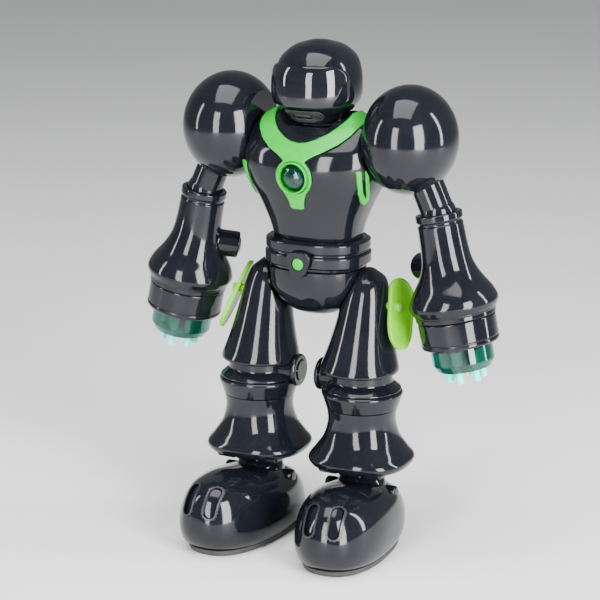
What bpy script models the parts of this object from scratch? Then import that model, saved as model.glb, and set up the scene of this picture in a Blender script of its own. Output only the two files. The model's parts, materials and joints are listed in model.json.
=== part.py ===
"""Walking humanoid robot toy, 352 mm tall: it stands on its soles at z = 0 and faces -Y.

The origin is under the middle of its bounding box. Points below are measured from the shoulder
axis instead, which lies CENTRE_Y behind the origin.

Each sub-part is one object. Lengths below are in millimetres, and MM turns them into metres.
Left and right are the robot's own: its left arm and leg are at +X.
"""

import math

import bmesh
import bpy
from mathutils import Matrix, Quaternion, Vector

MM = 0.001
GAP = 0.3
WALL = 2.6
SIDES = {"left": 1, "right": -1}

# Driving dimensions of the figure.
HEIGHT = 352.0
CENTRE_Y = 29.65
SHOULDER = Vector((68.0, 0.0, 289.0))
BALL_RADIUS, BALL_HALF_LENGTH = 37.5, 33.0
BALL_FACE = 24.0
ELBOW = Vector((90.0, 0.0, 240.0))
FOREARM_TILT = math.radians(11.5)
FOREARM_END = 71.5
CUP_END = 91.0
BARREL_END = 108.0
NOZZLE_RING, NOZZLE_RADIUS, NOZZLE_COUNT, NOZZLE_LENGTH = 11.6, 2.4, 6, 8.4
BOSS_DOWN, BOSS_BACK = 37.5, math.radians(30)
SHAFT_RADIUS, HUB_END = 4.0, 8.4
LINK_RADIUS, ELBOW_RADIUS, PIN_RADIUS = 11.6, 12.6, 5.0
LENS = Vector((0.0, -40.0, 264.0))
LENS_RADIUS, BEZEL_RADIUS, DISC_RADIUS = 8.4, 11.0, 13.4
HIP = Vector((34.0, 0.0, 180.0))
THIGH_X = 38.5
NOTCH_X, NOTCH_Z = 26.5, 172.5
FIN = Vector((64.0, -2.0, 166.0))
FIN_LEAN_IN, FIN_LEAN_BACK, FIN_TOE_IN = math.radians(14.5), math.radians(33), math.radians(18)
FIN_PEG = Vector((52.0, -4.0, 172.0))
AXLE_RADIUS, STRUT_RADIUS = 3.0, 4.0
LEG = Vector((40.0, -13.0, 0.0))
KNEE_CAP_Z = 120.0
SHIN_LOW, SHIN_HIGH = 60.0, 100.4
ANKLE_Z, ANKLE_RADIUS = 40.0, 18.0
TOE_OUT = math.radians(5.0)
SOLE_HIGH = 4.6
WHEEL_RADIUS = 9.0
WHEEL = Vector((0.0, 17.0, WHEEL_RADIUS))
NECK_RADIUS, NECK_LOW = 9.0, 294.0
NECK_DISH_RADIUS, NECK_DISH_Z = 26.5, 296.0

# Sections of the lofted shells, from the bottom up:
# height, centre y, half width, reach to the front, reach to the back, squareness.
TORSO = [
    (217, 0, 31, 24, 22, 2.6),
    (228, 0, 34, 27, 24, 2.6),
    (242, 0, 40, 32, 28, 2.6),
    (256, 0, 47, 37, 32, 2.6),
    (269, 0, 51, 39, 34, 2.6),
    (280, 0, 51, 36.5, 34, 2.6),
    (288, 0, 49, 30, 32.5, 2.6),
    (295, 0, 44, 23, 29, 2.6),
    (300, 0, 37, 17, 25, 2.5),
    (303, 0, 28, 11, 20, 2.4),
]
PELVIS = [
    (162, 0, 13, 11, 11, 2.3),
    (164.5, 0, 19, 16, 15, 2.3),
    (171, 0, 27, 22, 21, 2.4),
    (180, 0, 32, 26.5, 25, 2.5),
    (189, 0, 33.5, 28, 26, 2.5),
    (195, 0, 33.5, 28, 26, 2.5),
]
BELT = [
    (195.4, 0, 33, 27, 25.5, 2.5),
    (198, 0, 34.5, 28, 26.5, 2.5),
    (199, 0, 37, 30, 28.5, 2.5),
    (206, 0, 37, 30, 28.5, 2.5),
    (207, 0, 35, 28.4, 27, 2.5),
    (208.2, 0, 35, 28.4, 27, 2.5),
    (209.2, 0, 36.5, 29.6, 28, 2.5),
    (215, 0, 36.5, 29.6, 28, 2.5),
    (216.7, 0, 34, 27, 25.5, 2.5),
]
HELMET = [
    (297.5, -1, 14, 18.5, 15.5, 2.2),
    (302.5, -1, 18.5, 21.5, 19.5, 2.2),
    (306.5, 0, 24.5, 26.5, 24.5, 2.2),
    (313, 0, 28.5, 31, 29, 2.2),
    (322, 0, 29.5, 31.5, 30, 2.2),
    (333, 0, 28.5, 30.5, 29.5, 2.2),
    (342, 0.5, 25, 26, 26.5, 2.2),
    (349, 1, 17, 17.5, 18, 2.1),
    (HEIGHT, 1, 8, 8, 8, 2.0),
]
THIGH = [
    (126.5, -14, 26.6, 26, 26.4, 2.1),
    (129.5, -14, 27.2, 26.6, 27, 2.1),
    (141, -11.2, 23.8, 24, 24, 2.1),
    (154, -8, 20.6, 21.2, 21.2, 2.1),
    (167, -5, 18, 18.8, 18.8, 2.1),
    (180, -2, 15.4, 16.4, 16.4, 2.1),
    (189, 0, 12, 13.5, 13.5, 2.1),
    (194, 0, 6.5, 8, 8, 2.0),
]
SHIN = [
    (SHIN_LOW, 0, 34, 32, 32, 2.5),
    (64.5, 0, 36, 34, 34, 2.5),
    (71, 0, 31.5, 30.5, 30.5, 2.4),
    (80, 0, 26, 25.5, 25.5, 2.3),
    (91, 0, 23.4, 23.4, 23.4, 2.2),
    (SHIN_HIGH, 0, 24.6, 24.6, 24.6, 2.1),
]
FOOT = [
    (SOLE_HIGH + GAP, -32, 29, 56, 50, 2.4),
    (10, -32, 31.5, 62, 54, 2.4),
    (19, -32, 32.5, 65, 55, 2.4),
    (30, -33, 32, 63, 53, 2.3),
    (39, -37, 29, 56, 49, 2.2),
    (46, -46, 23, 42, 37, 2.1),
    (50.5, -56, 14, 25, 21, 2.0),
    (52.3, -57, 7, 12, 10, 2.0),
]
SOLE = [
    (0, -32, 26.5, 53, 47, 2.4),
    (1.4, -32, 28.6, 55.6, 49.6, 2.4),
    (SOLE_HIGH, -32, 29, 56, 50, 2.4),
]
FOREARM_FLARE = [(15.8, 9), (16.4, 24), (18, 35), (22, 44.5), (28, 54), (30.6, 60), (30.8, 63)]


# ---------- scene and materials ----------
def clear_scene():
    for obj in list(bpy.data.objects):
        bpy.data.objects.remove(obj, do_unlink=True)


def make_collection(name):
    collection = bpy.data.collections.new(name)
    bpy.context.scene.collection.children.link(collection)
    return collection


def make_material(name, colour, roughness, metallic=0.0, alpha=1.0):
    material = bpy.data.materials.new(name)
    material.use_nodes = True
    shader = material.node_tree.nodes["Principled BSDF"]
    shader.inputs["Base Color"].default_value = (*colour, 1.0)
    shader.inputs["Roughness"].default_value = roughness
    shader.inputs["Metallic"].default_value = metallic
    shader.inputs["Alpha"].default_value = alpha
    return material


clear_scene()
PARTS = make_collection("walking_robot")
CUTTERS = make_collection("cutters")
BLACK = make_material("gloss_black", (0.012, 0.013, 0.018), 0.12)
DARK = make_material("satin_black", (0.02, 0.02, 0.022), 0.4)
GREEN = make_material("gloss_green", (0.0, 0.60, 0.06), 0.25)
LIME = make_material("gloss_lime", (0.2, 0.65, 0.01), 0.3)
TEAL = make_material("clear_teal", (0.0, 0.2, 0.15), 0.08, alpha=0.75)
SMOKE = make_material("smoked_visor", (0.008, 0.009, 0.014), 0.05)
STEEL = make_material("steel", (0.55, 0.56, 0.58), 0.3, metallic=1.0)
RUBBER = make_material("rubber", (0.03, 0.03, 0.03), 0.8)
BOARD = make_material("circuit_board", (0.02, 0.18, 0.07), 0.5)


# ---------- placing ----------
def millimetres(values):
    return Vector(values) * MM


def placed(at, parent=None):
    """A point measured from the shoulder axis, or from the parent's own origin where there is one."""
    return millimetres(at) if parent else millimetres(at) + Vector((0, CENTRE_Y * MM, 0))


def stand(name, data, look, at=(0, 0, 0), turn=None, parent=None):
    """Add an object: a part with a look, or a cutter where look is None."""
    obj = bpy.data.objects.new(name, data)
    (PARTS if look else CUTTERS).objects.link(obj)
    if look:
        data.materials.append(look)
    else:
        obj.hide_render = True
        obj.display_type = "WIRE"
    if turn is not None:
        obj.rotation_mode = "QUATERNION"
        obj.rotation_quaternion = turn
    obj.location = placed(at, parent)
    if parent:
        obj.parent = parent
    return obj


def pivot(name, at, turn=None):
    """An empty on a joint's axis, for the pieces that move with it."""
    empty = bpy.data.objects.new(name, None)
    PARTS.objects.link(empty)
    empty.empty_display_size = 10 * MM
    if turn is not None:
        empty.rotation_mode = "QUATERNION"
        empty.rotation_quaternion = turn
    empty.location = placed(at)
    return empty


def aimed(start, direction):
    """The turn that takes start to direction."""
    return Vector(start).rotation_difference(Vector(direction))


ALONG_X = aimed((0, 0, 1), (1, 0, 0))
ALONG_MINUS_X = aimed((0, 0, 1), (-1, 0, 0))
ALONG_FRONT = aimed((0, 0, 1), (0, -1, 0))
ALONG_BACK = aimed((0, 0, 1), (0, 1, 0))


def outward(side):
    """The turn that takes local +Z to the robot's own outer side."""
    return ALONG_X if side > 0 else ALONG_MINUS_X


def smooth(mesh, angle=32):
    mesh.shade_smooth()
    mesh.set_sharp_from_angle(angle=math.radians(angle))


# ---------- shapes ----------
def mesh_of(name, bm):
    bmesh.ops.recalc_face_normals(bm, faces=bm.faces)
    mesh = bpy.data.meshes.new(name)
    bm.to_mesh(mesh)
    bm.free()
    smooth(mesh)
    return mesh


def block_mesh(name, size):
    bm = bmesh.new()
    bmesh.ops.create_cube(bm, size=1.0)
    bmesh.ops.scale(bm, vec=millimetres(size), verts=bm.verts)
    return mesh_of(name, bm)


def block(name, size, at, look=None, bevel=0.0, parent=None, turn=None):
    obj = stand(name, block_mesh(name, size), look, at, turn, parent)
    if bevel:
        modifier = obj.modifiers.new("Bevel", "BEVEL")
        modifier.width = bevel * MM
        modifier.segments = 2
    return obj


def turned(name, profile, look=None, at=(0, 0, 0), turn=None, steps=16, ring=False, parent=None):
    """A turned body. The profile is (radius, height) pairs down the outer side; a ring closes on itself."""
    mesh = bpy.data.meshes.new(name)
    points = [(radius * MM, 0.0, height * MM) for radius, height in profile]
    edges = [(i, i + 1) for i in range(len(points) - 1)]
    if ring:
        edges.append((len(points) - 1, 0))
    mesh.from_pydata(points, edges, [])
    obj = stand(name, mesh, look, at, turn, parent)
    screw = obj.modifiers.new("Screw", "SCREW")
    screw.steps = steps
    screw.render_steps = steps
    screw.use_merge_vertices = True
    screw.merge_threshold = 0.00001
    screw.use_smooth_shade = True
    return obj


def rod(name, radius, low, high, look=None, at=(0, 0, 0), turn=None, steps=12, parent=None):
    """A plain round bar from low to high along its own Z."""
    profile = [(0, high), (radius, high), (radius, low), (0, low)]
    return turned(name, profile, look, at, turn, steps, parent=parent)


def blended(rows, spans):
    """The sections with others between them, on a smooth curve through all of them."""
    last = len(rows) - 1
    result = []
    for index in range(last):
        before, start = rows[max(index - 1, 0)], rows[index]
        end, after = rows[index + 1], rows[min(index + 2, last)]
        for step in range(spans):
            t = step / spans
            row = []
            for a, b, c, d in zip(before, start, end, after):
                bend = 2 * a - 5 * b + 4 * c - d
                row.append(b + 0.5 * t * (c - a + t * (bend + t * (3 * (b - c) + d - a))))
            result.append(row)
    result.append(list(rows[last]))
    return result


def grown(rows, side, depth=None, low=0.0, high=0.0):
    """Sections pushed out by side to left and right, by depth to front and back, and at both ends."""
    depth = side if depth is None else depth
    result = [(z, y, w + side, f + depth, b + depth, p) for z, y, w, f, b, p in rows]
    result[0] = (result[0][0] - low, *result[0][1:])
    result[-1] = (result[-1][0] + high, *result[-1][1:])
    return result


def section_points(row, count):
    """One closed section: a rounded square whose front and back reach differ."""
    height, centre, half_width, front, back, squareness = row
    for index in range(count):
        angle = 2 * math.pi * index / count
        across, along = math.cos(angle), math.sin(angle)
        reach = back if along > 0 else front
        x = half_width * math.copysign(abs(across) ** (2 / squareness), across)
        y = centre + reach * math.copysign(abs(along) ** (2 / squareness), along)
        yield millimetres((x, y, height))


def loft(name, rows, look=None, at=(0, 0, 0), turn=None, parent=None, spans=1, count=16):
    bm = bmesh.new()
    rings = []
    for row in blended(rows, spans):
        rings.append([bm.verts.new(point) for point in section_points(row, count)])
    for low, high in zip(rings, rings[1:]):
        for index in range(count):
            after = (index + 1) % count
            bm.faces.new((low[index], low[after], high[after], high[index]))
    bm.faces.new(reversed(rings[0]))
    bm.faces.new(rings[-1])
    return stand(name, mesh_of(name, bm), look, at, turn, parent)


def outline(name, points, thickness, look=None, at=(0, 0, 0), turn=None, parent=None, bevel=0.0):
    """A plate cut to an outline, as a mesh: the outline lies in its own XY, its thickness along Z."""
    curve = bpy.data.curves.new(name, "CURVE")
    curve.dimensions = "2D"
    curve.fill_mode = "BOTH"
    curve.extrude = thickness * MM / 2
    spline = curve.splines.new("POLY")
    spline.points.add(len(points) - 1)
    for point, (x, y) in zip(spline.points, points):
        point.co = (x * MM, y * MM, 0.0, 1.0)
    spline.use_cyclic_u = True
    guide = bpy.data.objects.new(name + "_outline", curve)
    CUTTERS.objects.link(guide)
    bpy.context.view_layer.update()
    graph = bpy.context.evaluated_depsgraph_get()
    flat = bpy.data.meshes.new_from_object(guide.evaluated_get(graph))
    bpy.data.objects.remove(guide)
    bm = bmesh.new()
    bm.from_mesh(flat)
    bmesh.ops.remove_doubles(bm, verts=bm.verts, dist=0.000001)
    obj = stand(name, mesh_of(name, bm), look, at, turn, parent)
    if bevel:
        modifier = obj.modifiers.new("Bevel", "BEVEL")
        modifier.width = bevel * MM
        modifier.segments = 2
        modifier.limit_method = "ANGLE"
    return obj


UPRIGHT = aimed((0, 0, 1), (0, -1, 0))


def arc(centre_x, centre_y, radius, start, end, steps):
    """Points of an arc, in degrees from +X."""
    for step in range(steps + 1):
        angle = math.radians(start + (end - start) * step / steps)
        yield centre_x + radius * math.cos(angle), centre_y + radius * math.sin(angle)


def mirrored(half):
    """A whole outline from its half at +X, which starts and ends on the centre line."""
    return half + [(-x, y) for x, y in reversed(half[1:-1])]


# ---------- cutting ----------
def boolean(obj, tool, operation, solver="EXACT"):
    modifier = obj.modifiers.new(operation.title(), "BOOLEAN")
    modifier.operation = operation
    modifier.solver = solver
    modifier.object = tool
    return obj


def cut(obj, tool, solver="EXACT"):
    return boolean(obj, tool, "DIFFERENCE", solver)


def join(obj, tool):
    return boolean(obj, tool, "UNION")


def trim(obj, tool):
    return boolean(obj, tool, "INTERSECT")


SIDE_ON = Matrix(((0, 0, 1), (1, 0, 0), (0, 1, 0))).to_quaternion()


def shrunk(rows, wall, widest=1000.0, low_open=None):
    """The inside of a shell: the same sections a wall's thickness in. low_open runs it out of the bottom."""
    low, high = rows[0][0], rows[-1][0]
    inner_low = low + wall if low_open is None else low - low_open
    scale = (high - wall - inner_low) / (high - low)
    return [
        (inner_low + (z - low) * scale, y, min(w - wall, widest), f - wall, b - wall, p)
        for z, y, w, f, b, p in rows
    ]


def patch(name, rows, inner, outer, prism, look, parent=None, at=(0, 0, 0)):
    """A thin plate that follows a lofted surface, cut to the prism's outline."""
    plate = loft(name, grown(rows, outer, high=outer), look, at, parent=parent)
    cut(plate, loft(name + "_inside", grown(rows, inner, high=inner), None, at, parent=parent))
    return trim(plate, prism)


def half_space(name, front, centre=(0, 0, 250), size=180.0):
    """A block over the half that a front or back shell leaves free, past the seam's gap."""
    y = (size / 2 - GAP / 2) * (1 if front else -1)
    return block(name, (size, size, size), (centre[0], y, centre[2]))


def spheroid(radius, half_length, face, steps=9):
    """Profile of a ball turned about its axle, from its outer pole to its flat inner face."""
    stop = math.acos(-face / half_length)
    for step in range(steps + 1):
        angle = stop * step / steps
        yield radius * math.sin(angle), half_length * math.cos(angle)


# ---------- torso ----------
def socket_cutter(side, name):
    """Room for a shoulder ball, round its axle, so that the ball turns freely in it."""
    profile = list(spheroid(BALL_RADIUS + 1.2, BALL_HALF_LENGTH + 1.2, BALL_FACE + 0.6))
    profile.append((0, -BALL_FACE - 0.6))
    at = (side * SHOULDER.x, SHOULDER.y, SHOULDER.z)
    return turned(name, profile, None, at, outward(side), steps=32)


def torso():
    cavity = loft("torso_cavity", shrunk(TORSO[:-2], 1.7, widest=40.3))
    sockets = [socket_cutter(side, "socket_" + label) for label, side in SIDES.items()]
    shaft_holes = rod("shaft_holes", 4.5, -50, 50, None, (0, 0, SHOULDER.z), ALONG_X)
    off_seam = Quaternion((0, 0, 1), math.radians(9))
    neck_hole = rod("neck_hole", 14.3, 290, 310, turn=off_seam, steps=20)
    dish = rod("neck_dish", NECK_DISH_RADIUS, NECK_DISH_Z, 320, turn=off_seam, steps=28)
    lens_hole = rod("lens_hole", BEZEL_RADIUS + GAP, -10, 20, None, LENS, ALONG_FRONT, steps=24)
    for name, front in (("torso_front_shell", True), ("torso_back_shell", False)):
        shell = loft(name, TORSO, BLACK)
        other_half = half_space(name + "_other_half", front)
        for tool in (other_half, cavity, *sockets, shaft_holes, neck_hole, dish):
            cut(shell, tool, "MANIFOLD")
        if front:
            cut(shell, lens_hole, "MANIFOLD")
        else:
            back_openings(shell)
    battery_door(cavity)
    collar_plate((*sockets, lens_hole, dish))
    for (label, side), socket in zip(SIDES.items(), sockets):
        flank_trim(label, side, socket)


DOOR_SIZE, DOOR_Z = 40.0, 253.0
BACK_ROW_Z, BACK_Y = 227.0, 23.5
SWITCH_X, BUTTON_X = 13.0, -13.0


def back_openings(shell):
    door = block("door_opening", (DOOR_SIZE, 60, DOOR_SIZE), (0, 38, DOOR_Z))
    slot = block("switch_slot", (10, 16, 4.2), (SWITCH_X, BACK_Y, BACK_ROW_Z))
    at = (BUTTON_X, BACK_Y, BACK_ROW_Z)
    button_hole = rod("button_hole", 3.7, -8, 8, None, at, ALONG_BACK, steps=14)
    at = (0, BACK_Y, BACK_ROW_Z)
    charge_hole = rod("charge_hole", 4.4, -8, 8, None, at, ALONG_BACK, steps=14)
    for tool in (door, slot, button_hole, charge_hole):
        cut(shell, tool, "MANIFOLD")


def battery_door(cavity):
    size = DOOR_SIZE - 2 * GAP
    door = cut(loft("battery_door", TORSO, BLACK), cavity)
    trim(door, block("door_outline", (size, 60, size), (0, 38, DOOR_Z)))


def collar_plate(tools):
    """Y-shaped plate: two lobes round the neck, a disc round the lens and a kinked tail."""
    half = [(0, 240.6), (5, 240.6), (5.6, 246), (8, 251.5)]
    half += list(arc(0, LENS.z, DISC_RADIUS, -50, 62, 7))
    half += [(13, 278.5), (20.5, 282.5), (28.5, 287.3), (35, 293.6), (38.6, 299.2), (38.6, 308)]
    half += [(29, 308), (24, 298.7), (16, 292.7), (8, 288.8), (0, 286.8)]
    prism = outline("collar_outline", mirrored(half), 66, None, (0, -27, 0), UPRIGHT)
    plate = patch("collar_plate", TORSO, GAP, 2.4, prism, GREEN)
    for tool in tools:
        cut(plate, tool, "MANIFOLD")


def flank_trim(label, side, socket):
    """Two green ribs joined at their foot, on the flank under the shoulder."""
    outer_rib = [(-29, 270), (-27, 262), (-23, 253), (-17.5, 246)]
    foot = [(-13, 243.5), (-10.5, 246)]
    inner_rib = [(-12, 249), (-17, 256.5), (-20.5, 264), (-22, 270)]
    slot = [(-24, 270), (-22.3, 263.3), (-18.7, 255.4), (-14.6, 249.2), (-15.4, 248.2)]
    slot += [(-21.2, 254.3), (-25.1, 262.6), (-27, 270)]
    points = outer_rib + foot + inner_rib + slot
    prism = outline("trim_outline_" + label, points, 40, None, (side * 38, 0, 0), SIDE_ON)
    cut(patch("flank_trim_" + label, TORSO, GAP, 1.6, prism, GREEN), socket, "MANIFOLD")


def chest_light():
    ring = [(9.6, 3.4), (BEZEL_RADIUS - 0.8, 3.4), (BEZEL_RADIUS, 2.4), (BEZEL_RADIUS, -5.5)]
    ring += [(LENS_RADIUS + 0.4, -5.5), (LENS_RADIUS + 0.4, 1.6)]
    turned("lens_bezel", ring, GREEN, LENS, ALONG_FRONT, ring=True)
    dome = [(0, 0.6), (3.6, 0.2), (6.4, -0.9), (LENS_RADIUS, -2.8), (LENS_RADIUS, -5), (0, -5)]
    turned("chest_lens", dome, TEAL, LENS, ALONG_FRONT)


def inside_torso():
    block("battery_pack", (40, 16, 34), (0, 11, 253), DARK)
    block("main_board", (44, 1.6, 36), (0, -6, 252), BOARD)
    rod("speaker", 12, 16, 21, DARK, (0, 0, 240), ALONG_FRONT, steps=24)
    socket = [(4, 1.6), (4, -5), (1.4, -5), (1.4, 1.6)]
    turned("charge_socket", socket, STEEL, (0, BACK_Y, BACK_ROW_Z), ALONG_BACK, 12, ring=True)
    block("power_switch", (5, 5, 3.4), (SWITCH_X - 2, BACK_Y, BACK_ROW_Z), DARK)
    at = (BUTTON_X, BACK_Y, BACK_ROW_Z)
    rod("mode_button", 3.2, -3, 2.6, GREEN, at, ALONG_BACK, steps=12)
    outer_end = 59.0
    half = [(0, outer_end), (SHAFT_RADIUS - 0.6, outer_end), (SHAFT_RADIUS, outer_end - 0.8)]
    shaft = half + [(radius, -x) for radius, x in reversed(half)]
    turned("shoulder_shaft", shaft, STEEL, (0, 0, SHOULDER.z), ALONG_X, steps=16)


# ---------- waist ----------
def waist():
    belt = loft("waist_belt", BELT, BLACK)
    cut(belt, rod("belt_hole", 14, 180, 230, steps=24))
    top_open = [(163.5, 0, 8, 7, 7, 2.2)]
    top_open += [(z + 1.4, y, w - WALL, f - WALL, b - WALL, p) for z, y, w, f, b, p in PELVIS[1:]]
    top_open.append((205, 0, 31, 25.4, 23.4, 2.5))
    cavity = loft("pelvis_cavity", top_open)
    hole = AXLE_RADIUS + 0.4
    axle_holes = rod("axle_holes", hole, -60, 60, None, (0, HIP.y, HIP.z), ALONG_X)
    for name, front in (("pelvis_front_shell", True), ("pelvis_back_shell", False)):
        shell = loft(name, PELVIS, BLACK)
        cut(shell, half_space(name + "_other_half", front, (0, 0, 180), 120))
        cut(shell, cavity)
        cut(shell, axle_holes)
    half = [(0, -9.5), (3, -8.2), (6.4, -4), (8.5, 1.5), (9, 5.5), (7.6, 8.2), (4, 9.4), (0, 9.7)]
    outline("buckle", mirrored(half), 3.0, BLACK, (0, -32.4, 201), UPRIGHT, bevel=0.8)
    block("walk_gearbox", (36, 22, 18), (0, 0, 182), DARK, bevel=1.0)


# ---------- head ----------
def head():
    neck = pivot("neck_pivot", (0, 0, NECK_LOW))
    shift = (0, 0, -NECK_LOW)
    helmet = loft("helmet_shell", HELMET, BLACK, shift, parent=neck)
    cut(helmet, loft("helmet_cavity", shrunk(HELMET, WALL), None, shift, parent=neck))
    cut(helmet, rod("helmet_neck_hole", 10.6, 292, 304, None, shift, steps=16, parent=neck))
    face = list(arc(21, 317.5, 7.5, -90, 0, 4)) + list(arc(19, 329, 9.5, 0, 90, 4))
    half = [(0, 310)] + face + [(0, 338.5)]
    prism = outline("visor_outline", mirrored(half), 56, None, (0, -30, -NECK_LOW), UPRIGHT, neck)
    patch("visor", HELMET, GAP, 2.2, prism, SMOKE, neck, shift)
    half = [(0, 299.1), (10.7, 299.1), (14.3, 303.7), (13.1, 308.1), (0, 308.1)]
    prism = outline("chin_outline", mirrored(half), 50, None, (0, -28, -NECK_LOW), UPRIGHT, neck)
    patch("chin_guard", HELMET, GAP, 2.2, prism, DARK, neck, shift)
    post = [(0, 308), (12.6, 308), (12.6, 305), (NECK_RADIUS, 303), (NECK_RADIUS, NECK_LOW), (0, NECK_LOW)]
    turned("neck_post", post, DARK, shift, steps=16, parent=neck)
    bore = NECK_RADIUS + 0.4
    bearing = [(bore, 297), (12.6, 297), (13.8, 296.2), (13.8, 293.8), (bore, 293.8)]
    turned("neck_bearing", bearing, DARK, steps=16, ring=True)


# ---------- arms ----------
def forearm_turn(side):
    return aimed((0, 0, 1), (-side * math.sin(FOREARM_TILT), 0, math.cos(FOREARM_TILT)))


def hung(name, profile, look=None, parent=None, at=(0, 0, 0), turn=None, steps=16, ring=False):
    """A turned body on an arm's axis: its profile is (radius, distance down the axis) pairs."""
    heights = [(radius, -down) for radius, down in profile]
    return turned(name, heights, look, at, turn, steps, ring, parent)


def shoulder(label, side):
    joint = pivot("shoulder_pivot_" + label, (side * SHOULDER.x, SHOULDER.y, SHOULDER.z))
    profile = list(spheroid(BALL_RADIUS, BALL_HALF_LENGTH, BALL_FACE, 8))
    profile += [(SHAFT_RADIUS + 0.4, -BALL_FACE), (SHAFT_RADIUS + 0.4, -HUB_END), (0, -HUB_END)]
    turn = outward(side)
    ball = turned("shoulder_ball_" + label, profile, BLACK, turn=turn, steps=20, parent=joint)
    inner = list(spheroid(BALL_RADIUS - WALL, BALL_HALF_LENGTH - WALL, BALL_FACE - WALL, 4))
    inner += [(7, WALL - BALL_FACE), (7, WALL - HUB_END), (0, WALL - HUB_END)]
    cut(ball, turned("ball_cavity_" + label, inner, None, turn=turn, steps=12, parent=joint))
    elbow = Vector((side * (ELBOW.x - SHOULDER.x), 0, ELBOW.z - SHOULDER.z))
    turn = aimed((0, 0, 1), elbow)
    hole = LINK_RADIUS + 0.5
    cut(ball, rod("ball_link_hole_" + label, hole, 20, 60, None, turn=turn, steps=14, parent=joint))
    stop = math.pi - math.asin(PIN_RADIUS / ELBOW_RADIUS)
    angles = [stop * step / 7 for step in range(8)]
    knuckle = [(ELBOW_RADIUS * math.sin(a), -ELBOW_RADIUS * math.cos(a)) for a in angles]
    knuckle += [(PIN_RADIUS, 18.8), (8, 18.8), (8, 22), (0, 22)]
    link = hung("upper_arm_link_" + label, knuckle, BLACK, joint, elbow, forearm_turn(side), 16)
    bar = rod("link_bar_" + label, LINK_RADIUS, 14, 53, None, turn=turn, steps=14, parent=joint)
    join(link, bar)


def forearm(label, side):
    at = (side * ELBOW.x, ELBOW.y, ELBOW.z)
    joint = pivot("forearm_pivot_" + label, at, forearm_turn(side))
    neck = ELBOW_RADIUS + 0.4
    flare = FOREARM_FLARE
    profile = [(neck, -1), (15.4, -1), (16.2, -0.2), (16.2, 3.8), (14.9, 4.8), (14.9, 6.4), (15.8, 7.2)]
    profile += flare + [(27.8, FOREARM_END), (27.8 - WALL, FOREARM_END)]
    profile += [(radius - WALL, down) for radius, down in reversed(flare) if down > 20]
    profile += [(13.4, 18.4), (PIN_RADIUS + 0.4, 18.4), (PIN_RADIUS + 0.4, 14.4), (neck, 13.4)]
    shell = hung("forearm_shell_" + label, profile, BLACK, joint, steps=16, ring=True)
    boss_at = (0, 0, -BOSS_DOWN)
    turn = aimed((0, 0, 1), (-side * math.cos(BOSS_BACK), math.sin(BOSS_BACK), 0))
    join(shell, rod("boss_" + label, 9.6, 14, 31, None, boss_at, turn, 16, joint))
    cut(shell, rod("button_well_" + label, 6.4, 26.2, 36, None, boss_at, turn, 12, joint))
    rod("launch_button_" + label, 6, 28, 32.6, DARK, boss_at, turn, 12, joint)
    cup = [(26.2, FOREARM_END + GAP), (27, 72.6), (27, 89.8), (25.8, CUP_END), (4.6, CUP_END)]
    cup += [(4.6, 88.4), (24.2, 88.4), (24.2, FOREARM_END + GAP)]
    hung("launcher_cup_" + label, cup, BLACK, joint, steps=18, ring=True)
    launch_barrel(label, joint)


def launch_barrel(label, joint):
    """Clear drum on its shaft, with a ring of tubes that end in nozzles."""
    top, floor = CUP_END + 0.4, BARREL_END - 3
    drum = [(0, 79), (4, 79), (4, floor), (17.8, floor), (19.6, floor - 2), (19.6, top)]
    drum += [(21.5, top), (21.5, BARREL_END - 5), (18, BARREL_END), (0, BARREL_END)]
    barrel = hung("launch_barrel_" + label, drum, TEAL, joint, steps=16)
    tip, down = NOZZLE_RADIUS, BARREL_END + NOZZLE_LENGTH
    tube = [(0, 94), (4.3, 94), (4.3, floor + 1.5), (tip, floor + 1.5), (tip, down)]
    tube += [(tip - 1, down), (tip - 1, down - 5), (0, down - 5)]
    for index in range(NOZZLE_COUNT):
        angle = 2 * math.pi * (index + 0.5) / NOZZLE_COUNT
        at = (NOZZLE_RING * math.cos(angle), NOZZLE_RING * math.sin(angle), 0)
        join(barrel, hung(f"tube_{label}_{index}", tube, None, joint, at, steps=6))


# ---------- legs ----------
def leg(label, side):
    origin = Vector((side * HIP.x, HIP.y, HIP.z))
    joint = pivot("hip_pivot_" + label, origin)
    thigh_at = Vector((side * THIGH_X, 0, 0)) - origin
    leg_at = Vector((side * LEG.x, LEG.y, 0)) - origin
    thigh = loft("thigh_shell_" + label, THIGH, BLACK, thigh_at, parent=joint)
    inside = shrunk(THIGH, WALL, low_open=6)
    cut(thigh, loft("thigh_cavity_" + label, inside, None, thigh_at, parent=joint))
    room = grown(PELVIS, 1.2, 4.5, low=3, high=12)
    cut(thigh, loft("pelvis_room_" + label, room, None, -origin, parent=joint))
    notch_at = Vector((side * (NOTCH_X - 15), 0, NOTCH_Z + 20)) - origin
    cut(thigh, block("notch_" + label, (30, 80, 40), notch_at, parent=joint))
    hip_fin(label, side, thigh, joint, origin)
    rod("hip_axle_" + label, AXLE_RADIUS, 18.4, 47, STEEL, (-origin.x, 0, 0), outward(side), parent=joint)
    leg_strut(label, side, joint, origin, leg_at)
    knee(label, side, joint, leg_at)
    cuff = [(6, 113.2), (27.3, 113.2), (28.5, 112), (28.5, 110.6), (25.4, 101), (6, 101)]
    turned("cuff_ring_" + label, cuff, BLACK, leg_at, steps=20, ring=True, parent=joint)
    shin = loft("shin_shell_" + label, SHIN, BLACK, leg_at, parent=joint)
    inside = shrunk(SHIN, WALL, low_open=4)
    cut(shin, loft("shin_cavity_" + label, inside, None, leg_at, parent=joint))
    cut(shin, rod("shin_hole_" + label, 6, 90, 104, None, leg_at, parent=joint))
    ankle_ball(label, joint, leg_at)


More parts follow.
